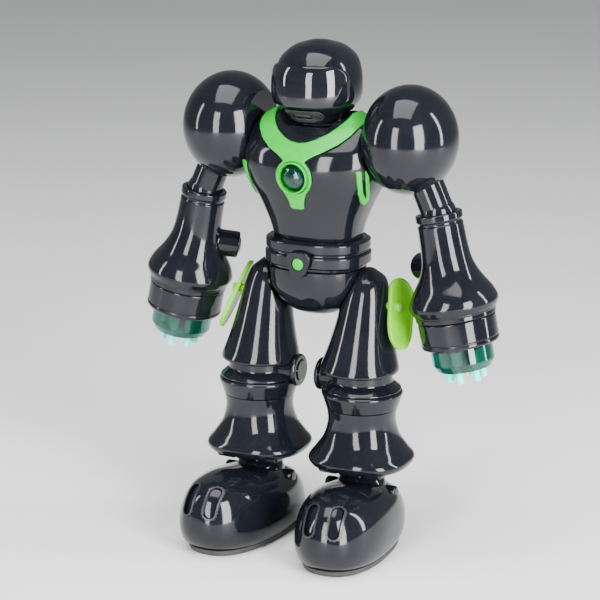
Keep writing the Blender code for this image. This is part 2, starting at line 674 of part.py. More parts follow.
def ankle_ball(label, joint, leg_at):
    """Ball in the top of the foot, with a block on it that fills the foot of the shin."""
    at = leg_at + Vector((0, 0, ANKLE_Z))
    stop = math.radians(30)
    angles = [stop + (math.pi - stop) * step / 8 for step in range(9)]
    profile = [(ANKLE_RADIUS * math.sin(a), ANKLE_RADIUS * math.cos(a)) for a in angles]
    ball = turned("ankle_block_" + label, [(0, profile[0][1])] + profile, BLACK, at, steps=20, parent=joint)
    join(ball, rod("ankle_pin_" + label, 2.5, -23, 23, None, at, ALONG_X, 12, joint))
    top = block("ankle_top_" + label, (38, 34, 12), leg_at + Vector((0, 0, 60.6)), parent=joint)
    join(ball, top)
    cut(ball, rod("strut_socket_" + label, STRUT_RADIUS + 0.4, 61, 70, None, leg_at, parent=joint))


def leg_strut(label, side, joint, origin, leg_at):
    """Inner bar from the ankle block up to a hub on the hip axle."""
    strut = rod("leg_strut_" + label, STRUT_RADIUS, 62, 131, DARK, leg_at, parent=joint)
    lower = Vector((side * LEG.x, LEG.y, 129)) - origin
    upper = Vector((side * LEG.x, HIP.y, HIP.z)) - origin
    length = (upper - lower).length
    turn = aimed((0, 0, 1), upper - lower)
    join(strut, rod("strut_bar_" + label, STRUT_RADIUS, -1, length, None, lower, turn, parent=joint))
    join(strut, rod("strut_hub_" + label, 7, -4, 4, None, upper, ALONG_X, parent=joint))
    cut(strut, rod("strut_bore_" + label, AXLE_RADIUS + 0.3, -8, 8, None, upper, ALONG_X, parent=joint))


def knee(label, side, joint, leg_at):
    profile = [(7.4, 137), (13.5, 137), (18.6, 133), (21, 128), (21.6, 119.5), (27.4, 114.6)]
    profile += [(27.4, 113.6), (7.4, 113.6)]
    link = turned("knee_link_" + label, profile, DARK, leg_at, steps=16, ring=True, parent=joint)
    at = leg_at + Vector((0, 0, KNEE_CAP_Z))
    cap = [(0, 33.6), (7, 33.6), (8, 32.6), (10.6, 32.6), (11.6, 31.6), (11.6, 29.8)]
    cap += [(6, 29.8), (6, 16), (0, 16)]
    join(link, turned("knee_cap_" + label, cap, None, at, outward(-side), 16, parent=joint))


def foot(label, side):
    turn = Quaternion((0, 0, 1), side * TOE_OUT)
    joint = pivot("ankle_pivot_" + label, (side * LEG.x, LEG.y, ANKLE_Z), turn)
    at = (0, -LEG.y, -ANKLE_Z)
    shell = loft("foot_shell_" + label, FOOT, BLACK, at, parent=joint)
    inside = shrunk(FOOT, WALL, low_open=4)
    cut(shell, loft("foot_cavity_" + label, inside, None, at, parent=joint))
    pin_at = (side * LEG.x, LEG.y, ANKLE_Z)
    for place, turn_by in ((1, ALONG_X), (-1, ALONG_MINUS_X)):
        join(shell, rod(f"ankle_boss_{label}_{place}", 5, 20.6, 27, None, pin_at, turn_by))
    cut(shell, ball_room(label, pin_at))
    cut(shell, rod("ankle_holes_" + label, 2.9, -24, 24, None, pin_at, ALONG_X, 12))
    sole = loft("sole_plate_" + label, SOLE, RUBBER, at, parent=joint)
    wheel_at = WHEEL - Vector((0, 0, ANKLE_Z))
    for place in (-1, 1):
        post_at = (place * 6, WHEEL.y, 8 - ANKLE_Z)
        join(sole, block(f"wheel_post_{label}_{place}", (2.6, 8, 9), post_at, parent=joint))
    slot_at = (0, WHEEL.y, -ANKLE_Z)
    cut(sole, block("wheel_slot_" + label, (9, 22, 24), slot_at, parent=joint))
    cut(sole, rod("wheel_bore_" + label, 1.9, -9, 9, None, wheel_at, ALONG_X, 12, joint))
    half = [(0, 7.6), (1.5, 7.6), (1.5, 3.9), (7.6, 3.5), (WHEEL_RADIUS, 2.4)]
    profile = half + [(radius, -x) for radius, x in reversed(half)]
    turned("drive_wheel_" + label, profile, RUBBER, wheel_at, ALONG_X, 16, parent=joint)


def ball_room(label, at):
    radius = ANKLE_RADIUS + 0.6
    angles = [math.pi * step / 8 for step in range(9)]
    profile = [(radius * math.sin(a), radius * math.cos(a)) for a in angles]
    return turned("ankle_room_" + label, profile, None, at, steps=18)


def hip_fin(label, side, thigh, joint, origin):
    """Lime plate on a peg outside the thigh, leaning in and back towards its top, its front edge turned in."""
    lean = Quaternion((0, 1, 0), -side * FIN_LEAN_IN) @ Quaternion((1, 0, 0), -FIN_LEAN_BACK)
    toe_in = Quaternion((0, 0, 1), -side * FIN_TOE_IN)
    points = list(arc(0, 14.5, 12.5, 0, 180, 8)) + [(-12.5, -10), (-10.5, -20), (-3, -26), (6, -24)]
    points += [(11, -14)]
    at = Vector((side * FIN.x, FIN.y, FIN.z)) - origin
    fin = outline("hip_fin_" + label, points, 3.2, LIME, at, lean @ toe_in @ SIDE_ON, joint)
    peg_at = Vector((side * FIN_PEG.x, FIN_PEG.y, FIN_PEG.z)) - origin
    length = FIN.x + 0.6 - FIN_PEG.x
    join(fin, rod("fin_peg_" + label, 3, 0, length, None, peg_at, outward(side), parent=joint))
    cut(thigh, rod("fin_peg_hole_" + label, 3 + GAP, -2, 8, None, peg_at, outward(side), parent=joint))


torso()
chest_light()
inside_torso()
waist()
head()
for LABEL, SIDE in SIDES.items():
    shoulder(LABEL, SIDE)
    forearm(LABEL, SIDE)
    leg(LABEL, SIDE)
    foot(LABEL, SIDE)
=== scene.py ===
"""Looks of the walking robot toy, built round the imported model.

Shapes are made in millimetres, measured from the shoulder axis, and set down in the frame's metres.
Left and right are the robot's own: its left side is at +X, and it faces -Y.
"""

import json
import math

import bmesh
import bpy
import numpy as np
from mathutils import Matrix, Quaternion, Vector


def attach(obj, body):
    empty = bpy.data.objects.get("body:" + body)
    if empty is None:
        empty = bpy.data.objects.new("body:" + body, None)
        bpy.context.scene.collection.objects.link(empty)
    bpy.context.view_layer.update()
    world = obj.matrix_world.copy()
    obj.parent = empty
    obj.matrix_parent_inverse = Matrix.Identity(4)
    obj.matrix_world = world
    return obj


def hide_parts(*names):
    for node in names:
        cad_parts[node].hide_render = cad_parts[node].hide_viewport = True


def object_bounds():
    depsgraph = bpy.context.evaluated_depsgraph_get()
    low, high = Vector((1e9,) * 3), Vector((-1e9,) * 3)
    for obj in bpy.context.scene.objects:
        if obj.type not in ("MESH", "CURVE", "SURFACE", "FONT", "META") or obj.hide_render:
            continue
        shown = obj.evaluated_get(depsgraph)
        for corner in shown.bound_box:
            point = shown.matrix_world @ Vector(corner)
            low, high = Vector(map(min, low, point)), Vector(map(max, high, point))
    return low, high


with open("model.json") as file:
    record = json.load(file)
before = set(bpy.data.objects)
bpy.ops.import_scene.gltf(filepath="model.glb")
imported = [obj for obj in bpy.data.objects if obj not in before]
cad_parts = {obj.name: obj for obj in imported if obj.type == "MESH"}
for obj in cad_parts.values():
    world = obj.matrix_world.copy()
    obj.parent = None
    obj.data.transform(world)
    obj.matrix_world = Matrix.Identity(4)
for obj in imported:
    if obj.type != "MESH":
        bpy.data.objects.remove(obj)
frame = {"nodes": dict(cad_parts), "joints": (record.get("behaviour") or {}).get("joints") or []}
CAD_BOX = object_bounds()
JOINTS = {joint["name"]: joint for joint in frame["joints"]}
MM = 0.001
SIDES = {"left": 1, "right": -1}


def joint_point(name):
    return Vector(JOINTS[name]["pos_m"]) / MM


CENTRE = Vector((0, joint_point("shoulder_left").y, 0))
SHOULDER = joint_point("shoulder_left") - CENTRE
ELBOW = joint_point("forearm_swivel_left") - CENTRE
HIP = joint_point("hip_left") - CENTRE
ANKLE = joint_point("ankle_left") - CENTRE
NECK = joint_point("neck_turn") - CENTRE

GAP, WALL = 0.3, 2.6
HEIGHT = 352.0
BALL_RADIUS, BALL_HALF_LENGTH, BALL_FACE = 37.5, 33.0, 24.0
FOREARM_END, CUP_END, BARREL_END = 71.5, 91.0, 108.0
NOZZLE_RING, NOZZLE_RADIUS, NOZZLE_COUNT, NOZZLE_LENGTH = 11.6, 2.4, 6, 8.4
BOSS_DOWN, BOSS_BACK = 37.5, math.radians(30)
LINK_RADIUS, ELBOW_RADIUS, PIN_RADIUS = 11.6, 12.6, 5.0
LENS = Vector((0.0, -40.0, 264.0))
LENS_RADIUS, BEZEL_RADIUS, DISC_RADIUS = 8.4, 11.0, 13.4
THIGH_X = 38.5
NOTCH_X, NOTCH_Z = 26.5, 172.5
FIN = Vector((64.0, -2.0, 166.0))
FIN_LEAN_IN, FIN_LEAN_BACK, FIN_TOE_IN = math.radians(14.5), math.radians(33), math.radians(14)
FIN_PEG = Vector((52.0, -4.0, 172.0))
KNEE_CAP_Z = 120.0
SHIN_LOW, SHIN_HIGH = 60.0, 100.4
ANKLE_RADIUS = 18.0
TOE_OUT = math.radians(5.0)
SOLE_HIGH = 4.6
WHEEL = Vector((0.0, 4.0, 9.0))
NECK_DISH_RADIUS, NECK_DISH_Z = 26.5, 296.0
DOOR_SIZE, DOOR_Z, DOOR_SCREW_Z = 40.0, 253.0, 267.0
BACK_ROW_Z, BACK_Y = 227.0, 23.5
SWITCH_X, BUTTON_X = 13.0, -13.0
BACK_SCREWS = ((-29, 268), (29, 268), (-24, 236), (24, 236))
SPLIT_BLOCK = 200.0
BUCKLE_Y, BUCKLE_Z, LAMP_Z = -32.4, 201.0, 202.0
HUB_RADIUS, HUB_DEPTH = 4.4, 8.4
TOE_SLOTS_X = (-9.5, 8.5)
CAMERA_AZIMUTH, CAMERA_ELEVATION, CAMERA_DISTANCE, CAMERA_LENS = 26, 15, 1.565, 136

# Sections of the shells, from the bottom up:
# height, centre y, half width, reach to the front, reach to the back, squareness.
TORSO = [
    (217, 0, 31, 24, 22, 2.6),
    (228, 0, 34, 27, 24, 2.6),
    (242, 0, 40, 32, 28, 2.6),
    (256, 0, 47, 37, 32, 2.6),
    (269, 0, 51, 39, 34, 2.6),
    (280, 0, 51, 36.5, 34, 2.6),
    (288, 0, 49, 30, 32.5, 2.6),
    (295, 0, 44, 23, 29, 2.6),
    (300, 0, 37, 17, 25, 2.5),
    (303, 0, 28, 11, 20, 2.4),
]
PELVIS = [
    (162, 0, 13, 11, 11, 2.3),
    (164.5, 0, 19, 16, 15, 2.3),
    (171, 0, 27, 22, 21, 2.4),
    (180, 0, 32, 26.5, 25, 2.5),
    (189, 0, 33.5, 28, 26, 2.5),
    (195, 0, 33.5, 28, 26, 2.5),
]
BELT = [
    (195.4, 0, 31, 25, 23.5, 2.5),
    (195.4, 0, 33, 27, 25.5, 2.5),
    (198, 0, 34.5, 28, 26.5, 2.5),
    (199, 0, 37, 30, 28.5, 2.5),
    (206, 0, 37, 30, 28.5, 2.5),
    (207, 0, 35, 28.4, 27, 2.5),
    (208.2, 0, 35, 28.4, 27, 2.5),
    (209.2, 0, 36.5, 29.6, 28, 2.5),
    (215, 0, 36.5, 29.6, 28, 2.5),
    (216.7, 0, 34, 27, 25.5, 2.5),
    (216.7, 0, 31, 24, 22.5, 2.5),
]
HELMET = [
    (297.5, -1, 14, 18.5, 15.5, 2.2),
    (302.5, -1, 18.5, 21.5, 19.5, 2.2),
    (306.5, 0, 24.5, 26.5, 24.5, 2.2),
    (313, 0, 28.5, 31, 29, 2.2),
    (322, 0, 29.5, 31.5, 30, 2.2),
    (333, 0, 28.5, 30.5, 29.5, 2.2),
    (342, 0.5, 25, 26, 26.5, 2.2),
    (349, 1, 17, 17.5, 18, 2.1),
    (HEIGHT, 1, 8, 8, 8, 2.0),
]
THIGH = [
    (126.5, -14, 26.6, 26, 26.4, 2.1),
    (129.5, -14, 27.2, 26.6, 27, 2.1),
    (141, -11.2, 23.8, 24, 24, 2.1),
    (154, -8, 20.6, 21.2, 21.2, 2.1),
    (167, -5, 18, 18.8, 18.8, 2.1),
    (180, -2, 15.4, 16.4, 16.4, 2.1),
    (189, 0, 12, 13.5, 13.5, 2.1),
    (194, 0, 6.5, 8, 8, 2.0),
]
SHIN = [
    (SHIN_LOW, 0, 34, 32, 32, 2.5),
    (64.5, 0, 36, 34, 34, 2.5),
    (71, 0, 31.5, 30.5, 30.5, 2.4),
    (80, 0, 26, 25.5, 25.5, 2.3),
    (91, 0, 23.4, 23.4, 23.4, 2.2),
    (SHIN_HIGH, 0, 24.6, 24.6, 24.6, 2.1),
]
FOOT = [
    (SOLE_HIGH + GAP, -32, 29, 56, 50, 2.4),
    (10, -32, 31.5, 62, 54, 2.4),
    (19, -32, 32.5, 65, 55, 2.4),
    (30, -33, 32, 63, 53, 2.3),
    (39, -37, 29, 56, 49, 2.2),
    (46, -46, 23, 42, 37, 2.1),
    (50.5, -56, 14, 25, 21, 2.0),
    (52.3, -57, 7, 12, 10, 2.0),
]
SOLE = [
    (0, -32, 26.5, 53, 47, 2.4),
    (1.4, -32, 28.6, 55.6, 49.6, 2.4),
    (SOLE_HIGH, -32, 29, 56, 50, 2.4),
]
FOREARM_FLARE = [(15.8, 9), (16.4, 24), (18, 35), (22, 44.5), (28, 54), (30.6, 60), (30.8, 63)]


# ---------- materials ----------
def new_material(name):
    material = bpy.data.materials.new(name)
    material.use_nodes = True
    tree = material.node_tree
    return material, tree, tree.nodes["Principled BSDF"]


def add_noise(tree, scale, detail=2.0, stretch=None):
    """Noise over the piece's own coordinates, in cells per metre."""
    place = tree.nodes.new("ShaderNodeTexCoord")
    source = place.outputs["Object"]
    if stretch:
        mapping = tree.nodes.new("ShaderNodeMapping")
        mapping.inputs["Scale"].default_value = stretch
        tree.links.new(source, mapping.inputs["Vector"])
        source = mapping.outputs["Vector"]
    noise = tree.nodes.new("ShaderNodeTexNoise")
    noise.inputs["Scale"].default_value = scale
    noise.inputs["Detail"].default_value = detail
    tree.links.new(source, noise.inputs["Vector"])
    return noise.outputs["Fac"]


def add_range(tree, value, low, high, low_out, high_out):
    node = tree.nodes.new("ShaderNodeMapRange")
    for socket, number in zip(node.inputs[1:5], (low, high, low_out, high_out)):
        socket.default_value = number
    tree.links.new(value, node.inputs[0])
    return node.outputs[0]


def add_math(tree, first, second, operation="ADD"):
    node = tree.nodes.new("ShaderNodeMath")
    node.operation = operation
    tree.links.new(first, node.inputs[0])
    tree.links.new(second, node.inputs[1])
    return node.outputs[0]


def add_mix(tree, factor, first, second):
    node = tree.nodes.new("ShaderNodeMix")
    node.data_type = "RGBA"
    tree.links.new(factor, node.inputs["Factor"])
    for socket, value in ((node.inputs[6], first), (node.inputs[7], second)):
        if isinstance(value, tuple):
            socket.default_value = (*value, 1.0)
        else:
            tree.links.new(value, socket)
    return node.outputs[2]


def add_bump(tree, shader, scale, strength, distance):
    """Fine unevenness in the surface, its noise in cells per metre and its depth in metres."""
    bump = tree.nodes.new("ShaderNodeBump")
    bump.inputs["Strength"].default_value = strength
    bump.inputs["Distance"].default_value = distance
    tree.links.new(add_noise(tree, scale), bump.inputs["Height"])
    tree.links.new(bump.outputs["Normal"], shader.inputs["Normal"])


def edge_wear(tree):
    """Patchy rubbing along the edges that stand out."""
    geometry = tree.nodes.new("ShaderNodeNewGeometry")
    rim = add_range(tree, geometry.outputs["Pointiness"], 0.52, 0.62, 0.0, 1.0)
    patches = add_range(tree, add_noise(tree, 260, 4), 0.45, 0.7, 0.0, 1.0)
    return add_math(tree, rim, patches, "MULTIPLY")


def moulded(name, colour, lighter, roughness, spread, peel=0.05, grain=420.0, dust=0.05, shine=0.5):
    """Moulded plastic: slow tone changes, an orange-peel skin, hairline scratches, dust, rubbed edges."""
    material, tree, shader = new_material(name)
    shader.inputs["Specular IOR Level"].default_value = shine
    tone = add_range(tree, add_noise(tree, 38, 3), 0.35, 0.68, 0.0, 1.0)
    colours = add_mix(tree, tone, colour, tuple(c * 1.25 + 0.0015 for c in colour))
    specks = add_range(tree, add_noise(tree, 2600, 1), 0.66, 0.74, 0.0, dust)
    colours = add_mix(tree, specks, colours, (0.45, 0.45, 0.45))
    wear = add_range(tree, edge_wear(tree), 0.0, 1.0, 0.0, 0.5)
    tree.links.new(add_mix(tree, wear, colours, lighter), shader.inputs["Base Color"])
    haze = add_range(tree, add_noise(tree, 90, 4), 0.3, 0.7, roughness, roughness + spread)
    hairs = add_range(tree, add_noise(tree, 60, 2, (6, 6, 150)), 0.68, 0.72, 0.0, spread)
    tree.links.new(add_math(tree, haze, hairs), shader.inputs["Roughness"])
    add_bump(tree, shader, grain, peel, 0.0004)
    return material


def clear(name, colour, roughness):
    """Tinted clear moulding, with faint flow marks."""
    material, tree, shader = new_material(name)
    tone = add_range(tree, add_noise(tree, 55, 3, (1, 1, 0.3)), 0.3, 0.7, 0.0, 1.0)
    tree.links.new(add_mix(tree, tone, colour, tuple(c * 0.8 for c in colour)), shader.inputs["Base Color"])
    haze = add_range(tree, add_noise(tree, 240, 3), 0.3, 0.7, roughness, roughness + 0.05)
    tree.links.new(haze, shader.inputs["Roughness"])
    shader.inputs["Transmission Weight"].default_value = 1.0
    shader.inputs["IOR"].default_value = 1.49
    add_bump(tree, shader, 160, 0.04, 0.0003)
    return material


def turned_steel(name):
    material, tree, shader = new_material(name)
    shader.inputs["Metallic"].default_value = 1.0
    tone = add_range(tree, add_noise(tree, 300, 3), 0.3, 0.7, 0.0, 1.0)
    tree.links.new(add_mix(tree, tone, (0.5, 0.51, 0.53), (0.66, 0.67, 0.69)), shader.inputs["Base Color"])
    lines = add_range(tree, add_noise(tree, 90, 3, (60, 1, 1)), 0.3, 0.7, 0.2, 0.42)
    tree.links.new(lines, shader.inputs["Roughness"])
    return material


GREEN_DUST, GREEN_SHINE = 0.02, 0.3
LOOKS = {
    "gloss_black": moulded("gloss_black_plastic", (0.0030, 0.0036, 0.0060), (0.05, 0.05, 0.055), 0.06, 0.05,
                           shine=0.33),
    "satin_black": moulded("satin_black_plastic", (0.012, 0.012, 0.014), (0.06, 0.06, 0.06), 0.3, 0.12,
                           0.12, 900),
    "gloss_green": moulded("gloss_green_plastic", (0.0, 0.31, 0.016), (0.03, 0.5, 0.08), 0.22, 0.08,
                           dust=GREEN_DUST, shine=GREEN_SHINE),
    "gloss_lime": moulded("gloss_lime_plastic", (0.11, 0.42, 0.0), (0.25, 0.6, 0.05), 0.26, 0.1,
                          dust=GREEN_DUST, shine=GREEN_SHINE),
    "clear_teal": clear("clear_teal_plastic", (0.0, 0.34, 0.28), 0.02),
    "smoked_visor": moulded("smoked_visor_plastic", (0.003, 0.0035, 0.006), (0.03, 0.03, 0.035), 0.02, 0.03,
                             0.02),
    "rubber": moulded("moulded_rubber", (0.022, 0.022, 0.022), (0.08, 0.08, 0.08), 0.6, 0.2, 0.3, 1400),
    "circuit_board": moulded("circuit_board_mask", (0.008, 0.13, 0.04), (0.4, 0.3, 0.1), 0.35, 0.15,
                             0.1, 700),
    "steel": turned_steel("turned_steel"),
}
TUBE_LOOK = moulded("pale_teal_plastic", (0.06, 0.8, 0.68), (0.3, 0.8, 0.7), 0.12, 0.08, 0.03, 420, 0.01)
LIGHT_LOOK = moulded("lamp_plastic", (0.06, 0.25, 0.21), (0.6, 0.8, 0.8), 0.2, 0.1, 0.03, 420, 0.01)


# ---------- placing ----------
def at(x=0.0, y=0.0, z=0.0):
    return Matrix.Translation((CENTRE + Vector((x, y, z))) * MM) @ Matrix.Scale(MM, 4)


def towards(direction):
    return Vector((0, 0, 1)).rotation_difference(Vector(direction)).to_matrix().to_4x4()


FRONT, BACK = towards((0, -1, 0)), towards((0, 1, 0))
UPRIGHT = FRONT
SIDE_ON = Matrix(((0, 0, 1, 0), (1, 0, 0, 0), (0, 1, 0, 0), (0, 0, 0, 1)))


def sideways(side):
    return towards((side, 0, 0))


def linked(name, data):
    """A new object in the scene."""
    obj = bpy.data.objects.new(name, data)
    bpy.context.scene.collection.objects.link(obj)
    return obj


def settle(bm, name, matrix):
    """The mesh, turned from millimetres to its place in the frame, as an object."""
    bmesh.ops.recalc_face_normals(bm, faces=bm.faces)
    mesh = bpy.data.meshes.new(name)
    bm.to_mesh(mesh)
    bm.free()
    mesh.transform(matrix)
    return linked(name, mesh)


def show(obj, body, slot, *nodes, look=None, sharp=34.0):
    """Give a finished piece its material and its body, and hide the CAD nodes that it stands for."""
    obj.data.materials.clear()
    obj.data.materials.append(look or LOOKS[slot])
    obj.data.shade_smooth()
    obj.data.set_sharp_from_angle(angle=math.radians(sharp))
    normals = obj.modifiers.new("Normals", "WEIGHTED_NORMAL")
    normals.keep_sharp = True
    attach(obj, body)
    if nodes:
        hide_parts(*nodes)
    return obj


# ---------- shapes ----------
def softened(points, radius, steps=4, closed=False):
    """The same line with each corner rounded off."""
    points = [np.array(point, dtype=float) for point in points]
    result = []
    for index, point in enumerate(points):
        if not closed and index in (0, len(points) - 1):
            result.append(point)
            continue
        back = points[index - 1] - point
        ahead = points[(index + 1) % len(points)] - point
        back_length, ahead_length = np.linalg.norm(back), np.linalg.norm(ahead)
        straight = np.dot(back, ahead) / (back_length * ahead_length) < -0.985
        if straight:
            result.append(point)
            continue
        reach = min(radius, 0.45 * back_length, 0.45 * ahead_length)
        start = point + back / back_length * reach
        end = point + ahead / ahead_length * reach
        for step in range(steps + 1):
            t = step / steps
            result.append(start * (1 - t) ** 2 + point * 2 * t * (1 - t) + end * t * t)
    return result


def turned(name, profile, matrix, steps=96, soft=0.5, ring=False):
    """A turned body from (radius, height) pairs, with its corners rounded."""
    bm = bmesh.new()
    rings = []
    for radius, height in softened(profile, soft, closed=ring):
        if radius < 0.001:
            rings.append([bm.verts.new((0, 0, height))])
            continue
        angles = [2 * math.pi * step / steps for step in range(steps)]
        rings.append([bm.verts.new((radius * math.cos(a), radius * math.sin(a), height)) for a in angles])
    pairs = list(zip(rings, rings[1:]))
    if ring:
        pairs.append((rings[-1], rings[0]))
    for high, low in pairs:
        for step in range(steps):
            after = (step + 1) % steps
            corners = [high[step % len(high)], low[step % len(low)]]
            corners += [low[after % len(low)], high[after % len(high)]]
            kept = list(dict.fromkeys(corners))
            if len(kept) > 2:
                bm.faces.new(kept)
    return settle(bm, name, matrix)


def hung(name, profile, matrix, steps=96, soft=0.5, ring=False):
    """A turned body from (radius, distance down its axis) pairs."""
    return turned(name, [(radius, -down) for radius, down in profile], matrix, steps, soft, ring)


def blended(rows, spans):
    """The sections with others between them, on a smooth curve through all of them."""
    rows = [np.array(row, dtype=float) for row in rows]
    last = len(rows) - 1
    result = []
    for index in range(last):
        before, start = rows[max(index - 1, 0)], rows[index]
        end, after = rows[index + 1], rows[min(index + 2, last)]
        for step in range(spans):
            t = step / spans
            bend = 2 * before - 5 * start + 4 * end - after
            cubic = 3 * (start - end) + after - before
            result.append(start + 0.5 * t * (end - before + t * (bend + t * cubic)))
    result.append(rows[last])
    return result


def section(row, count):
    height, centre, half_width, front, back, squareness = row
    for index in range(count):
        angle = 2 * math.pi * index / count
        across, along = math.cos(angle), math.sin(angle)
        reach = back if along > 0 else front
        x = half_width * math.copysign(abs(across) ** (2 / squareness), across)
        y = centre + reach * math.copysign(abs(along) ** (2 / squareness), along)
        yield x, y, height


def loft(name, rows, matrix, count=112, spans=6, crown=0.0):
    """A shell through the sections. A crown rounds over its last section."""
    bm = bmesh.new()
    rows = blended(rows, spans)
    top = rows[-1]
    for share in (0.8, 0.6, 0.4, 0.2, 0.04) if crown else ():
        row = top.copy()
        row[0] += crown * (1 - share * share)
        row[2:5] *= share
        rows.append(row)
    rings = [[bm.verts.new(point) for point in section(row, count)] for row in rows]
    for low, high in zip(rings, rings[1:]):
        for index in range(count):
            after = (index + 1) % count
            bm.faces.new((low[index], low[after], high[after], high[index]))
    bm.faces.new(reversed(rings[0]))
    bm.faces.new(rings[-1])
    return settle(bm, name, matrix)


def grown(rows, side, depth=None, low=0.0, high=0.0):
    depth = side if depth is None else depth
    result = [(z, y, w + side, f + depth, b + depth, p) for z, y, w, f, b, p in rows]
    result[0] = (result[0][0] - low, *result[0][1:])
    result[-1] = (result[-1][0] + high, *result[-1][1:])
    return result


def shrunk(rows, wall, widest=1000.0, low_open=None):
    low, high = rows[0][0], rows[-1][0]
    inner_low = low + wall if low_open is None else low - low_open
    scale = (high - wall - inner_low) / (high - low)
    return [
        (inner_low + (z - low) * scale, y, min(w - wall, widest), f - wall, b - wall, p)
        for z, y, w, f, b, p in rows
    ]


def plate(name, points, thickness, matrix, bevel=0.0, steps=3):
    """A plate cut to an outline in its own XY, with rounded edges."""
    bm = bmesh.new()
    ring = [bm.verts.new((x, y, -thickness / 2)) for x, y in points]
    face = bm.faces.new(ring)
    top = bmesh.ops.extrude_face_region(bm, geom=[face])["geom"]
    raised = [v for v in top if isinstance(v, bmesh.types.BMVert)]
    bmesh.ops.translate(bm, vec=(0, 0, thickness), verts=raised)
    if bevel:
        rims = [e for e in bm.edges if abs(e.verts[0].co.z - e.verts[1].co.z) < 0.001]
        bmesh.ops.bevel(bm, geom=rims, offset=bevel, segments=steps, affect="EDGES", profile=0.5)
    return settle(bm, name, matrix)


def block(name, size, matrix, bevel=0.0):
    bm = bmesh.new()
    bmesh.ops.create_cube(bm, size=1.0)
    bmesh.ops.scale(bm, vec=size, verts=bm.verts)
    if bevel:
        bmesh.ops.bevel(bm, geom=bm.edges[:], offset=bevel, segments=3, affect="EDGES", profile=0.5)
    return settle(bm, name, matrix)


def rod(name, radius, low, high, matrix, steps=64, soft=0.0):
    return turned(name, [(0, high), (radius, high), (radius, low), (0, low)], matrix, steps, soft)


def arc(x, y, radius, start, end, steps):
    for step in range(steps + 1):
        angle = math.radians(start + (end - start) * step / steps)
        yield x + radius * math.cos(angle), y + radius * math.sin(angle)


def mirrored(half):
    return half + [(-x, y) for x, y in reversed(half[1:-1])]


def curved(points, spans):
    """More points on a smooth closed curve through the ones given."""
    points = [np.array(point, dtype=float) for point in points]
    count = len(points)
    result = []
    for index in range(count):
        a, b = points[index - 1], points[index]
        c, d = points[(index + 1) % count], points[(index + 2) % count]
        for step in range(spans):
            t = step / spans
            result.append(b + 0.5 * t * (c - a + t * (2 * a - 5 * b + 4 * c - d + t * (3 * (b - c) + d - a))))
    return [tuple(point) for point in result]


# ---------- cutting ----------
def baked(obj):
    """Apply the modifiers that are on an object."""
    graph = bpy.context.evaluated_depsgraph_get()
    mesh = bpy.data.meshes.new_from_object(obj.evaluated_get(graph))
    obj.modifiers.clear()
    old = obj.data
    obj.data = mesh
    bpy.data.meshes.remove(old)
    return obj


def carve(obj, tools, operation="DIFFERENCE", keep=False, solver="EXACT"):
    for tool in tools:
        modifier = obj.modifiers.new("Carve", "BOOLEAN")
        modifier.operation = operation
        modifier.solver = solver
        modifier.object = tool
    baked(obj)
    if not keep:
        for tool in tools:
            bpy.data.objects.remove(tool)
    return obj


def melted(obj, voxel, rounds):
    """Remesh a piece finely and relax it, so that its cut edges come out softly rounded."""
    remesh = obj.modifiers.new("Remesh", "REMESH")
    remesh.mode = "VOXEL"
    remesh.voxel_size = voxel * MM
    smooth = obj.modifiers.new("Smooth", "SMOOTH")
    smooth.factor = 0.5
    smooth.iterations = rounds
    return baked(obj)


def inlay(name, rows, inner, outer, prism, matrix):
    """A thin plate on a lofted surface, cut to the prism's outline."""
    skin = loft(name, grown(rows, outer, high=outer), matrix)
    under = loft(name + "_under", grown(rows, inner, high=inner), matrix)
    carve(skin, [under])
    return carve(skin, [prism], "INTERSECT")


def spheroid(radius, half_length, face, steps=40):
    stop = math.acos(-face / half_length)
    return [
        (radius * math.sin(stop * step / steps), half_length * math.cos(stop * step / steps))
        for step in range(steps + 1)
    ]


def screw(name, radius, matrix, body):
    """Pan-head screw with a crosshead recess, its head standing out along its own Z."""
    head = [(0, 0.9), (radius * 0.55, 0.8), (radius * 0.9, 0.4), (radius, 0), (radius, -0.8), (0, -0.8)]
    pan = turned(name, head, matrix, 40, 0.15)
    cross = [
        block(name + "_a", (radius * 1.1, radius * 0.3, 1.2), matrix @ Matrix.Translation((0, 0, 0.9))),
        block(name + "_b", (radius * 0.3, radius * 1.1, 1.2), matrix @ Matrix.Translation((0, 0, 0.9))),
    ]
    show(carve(pan, cross), body, "steel")


def split_half(name, sign, z):
    """The space in front of (1) or behind (-1) the plane where a front and a back shell meet."""
    size = (SPLIT_BLOCK, SPLIT_BLOCK, SPLIT_BLOCK)
    return block(name + "_half", size, at(0, sign * (SPLIT_BLOCK - GAP) / 2, z))


# ---------- torso ----------
def socket(name, side):
    profile = spheroid(BALL_RADIUS + 1.2, BALL_HALF_LENGTH + 1.2, BALL_FACE + 0.6)
    profile.append((0, -BALL_FACE - 0.6))
    return turned(name, profile, at(side * SHOULDER.x, 0, SHOULDER.z) @ sideways(side), 112, 0)


def neck_dish(name):
    return rod(name, NECK_DISH_RADIUS, NECK_DISH_Z, 325, at(), 96)


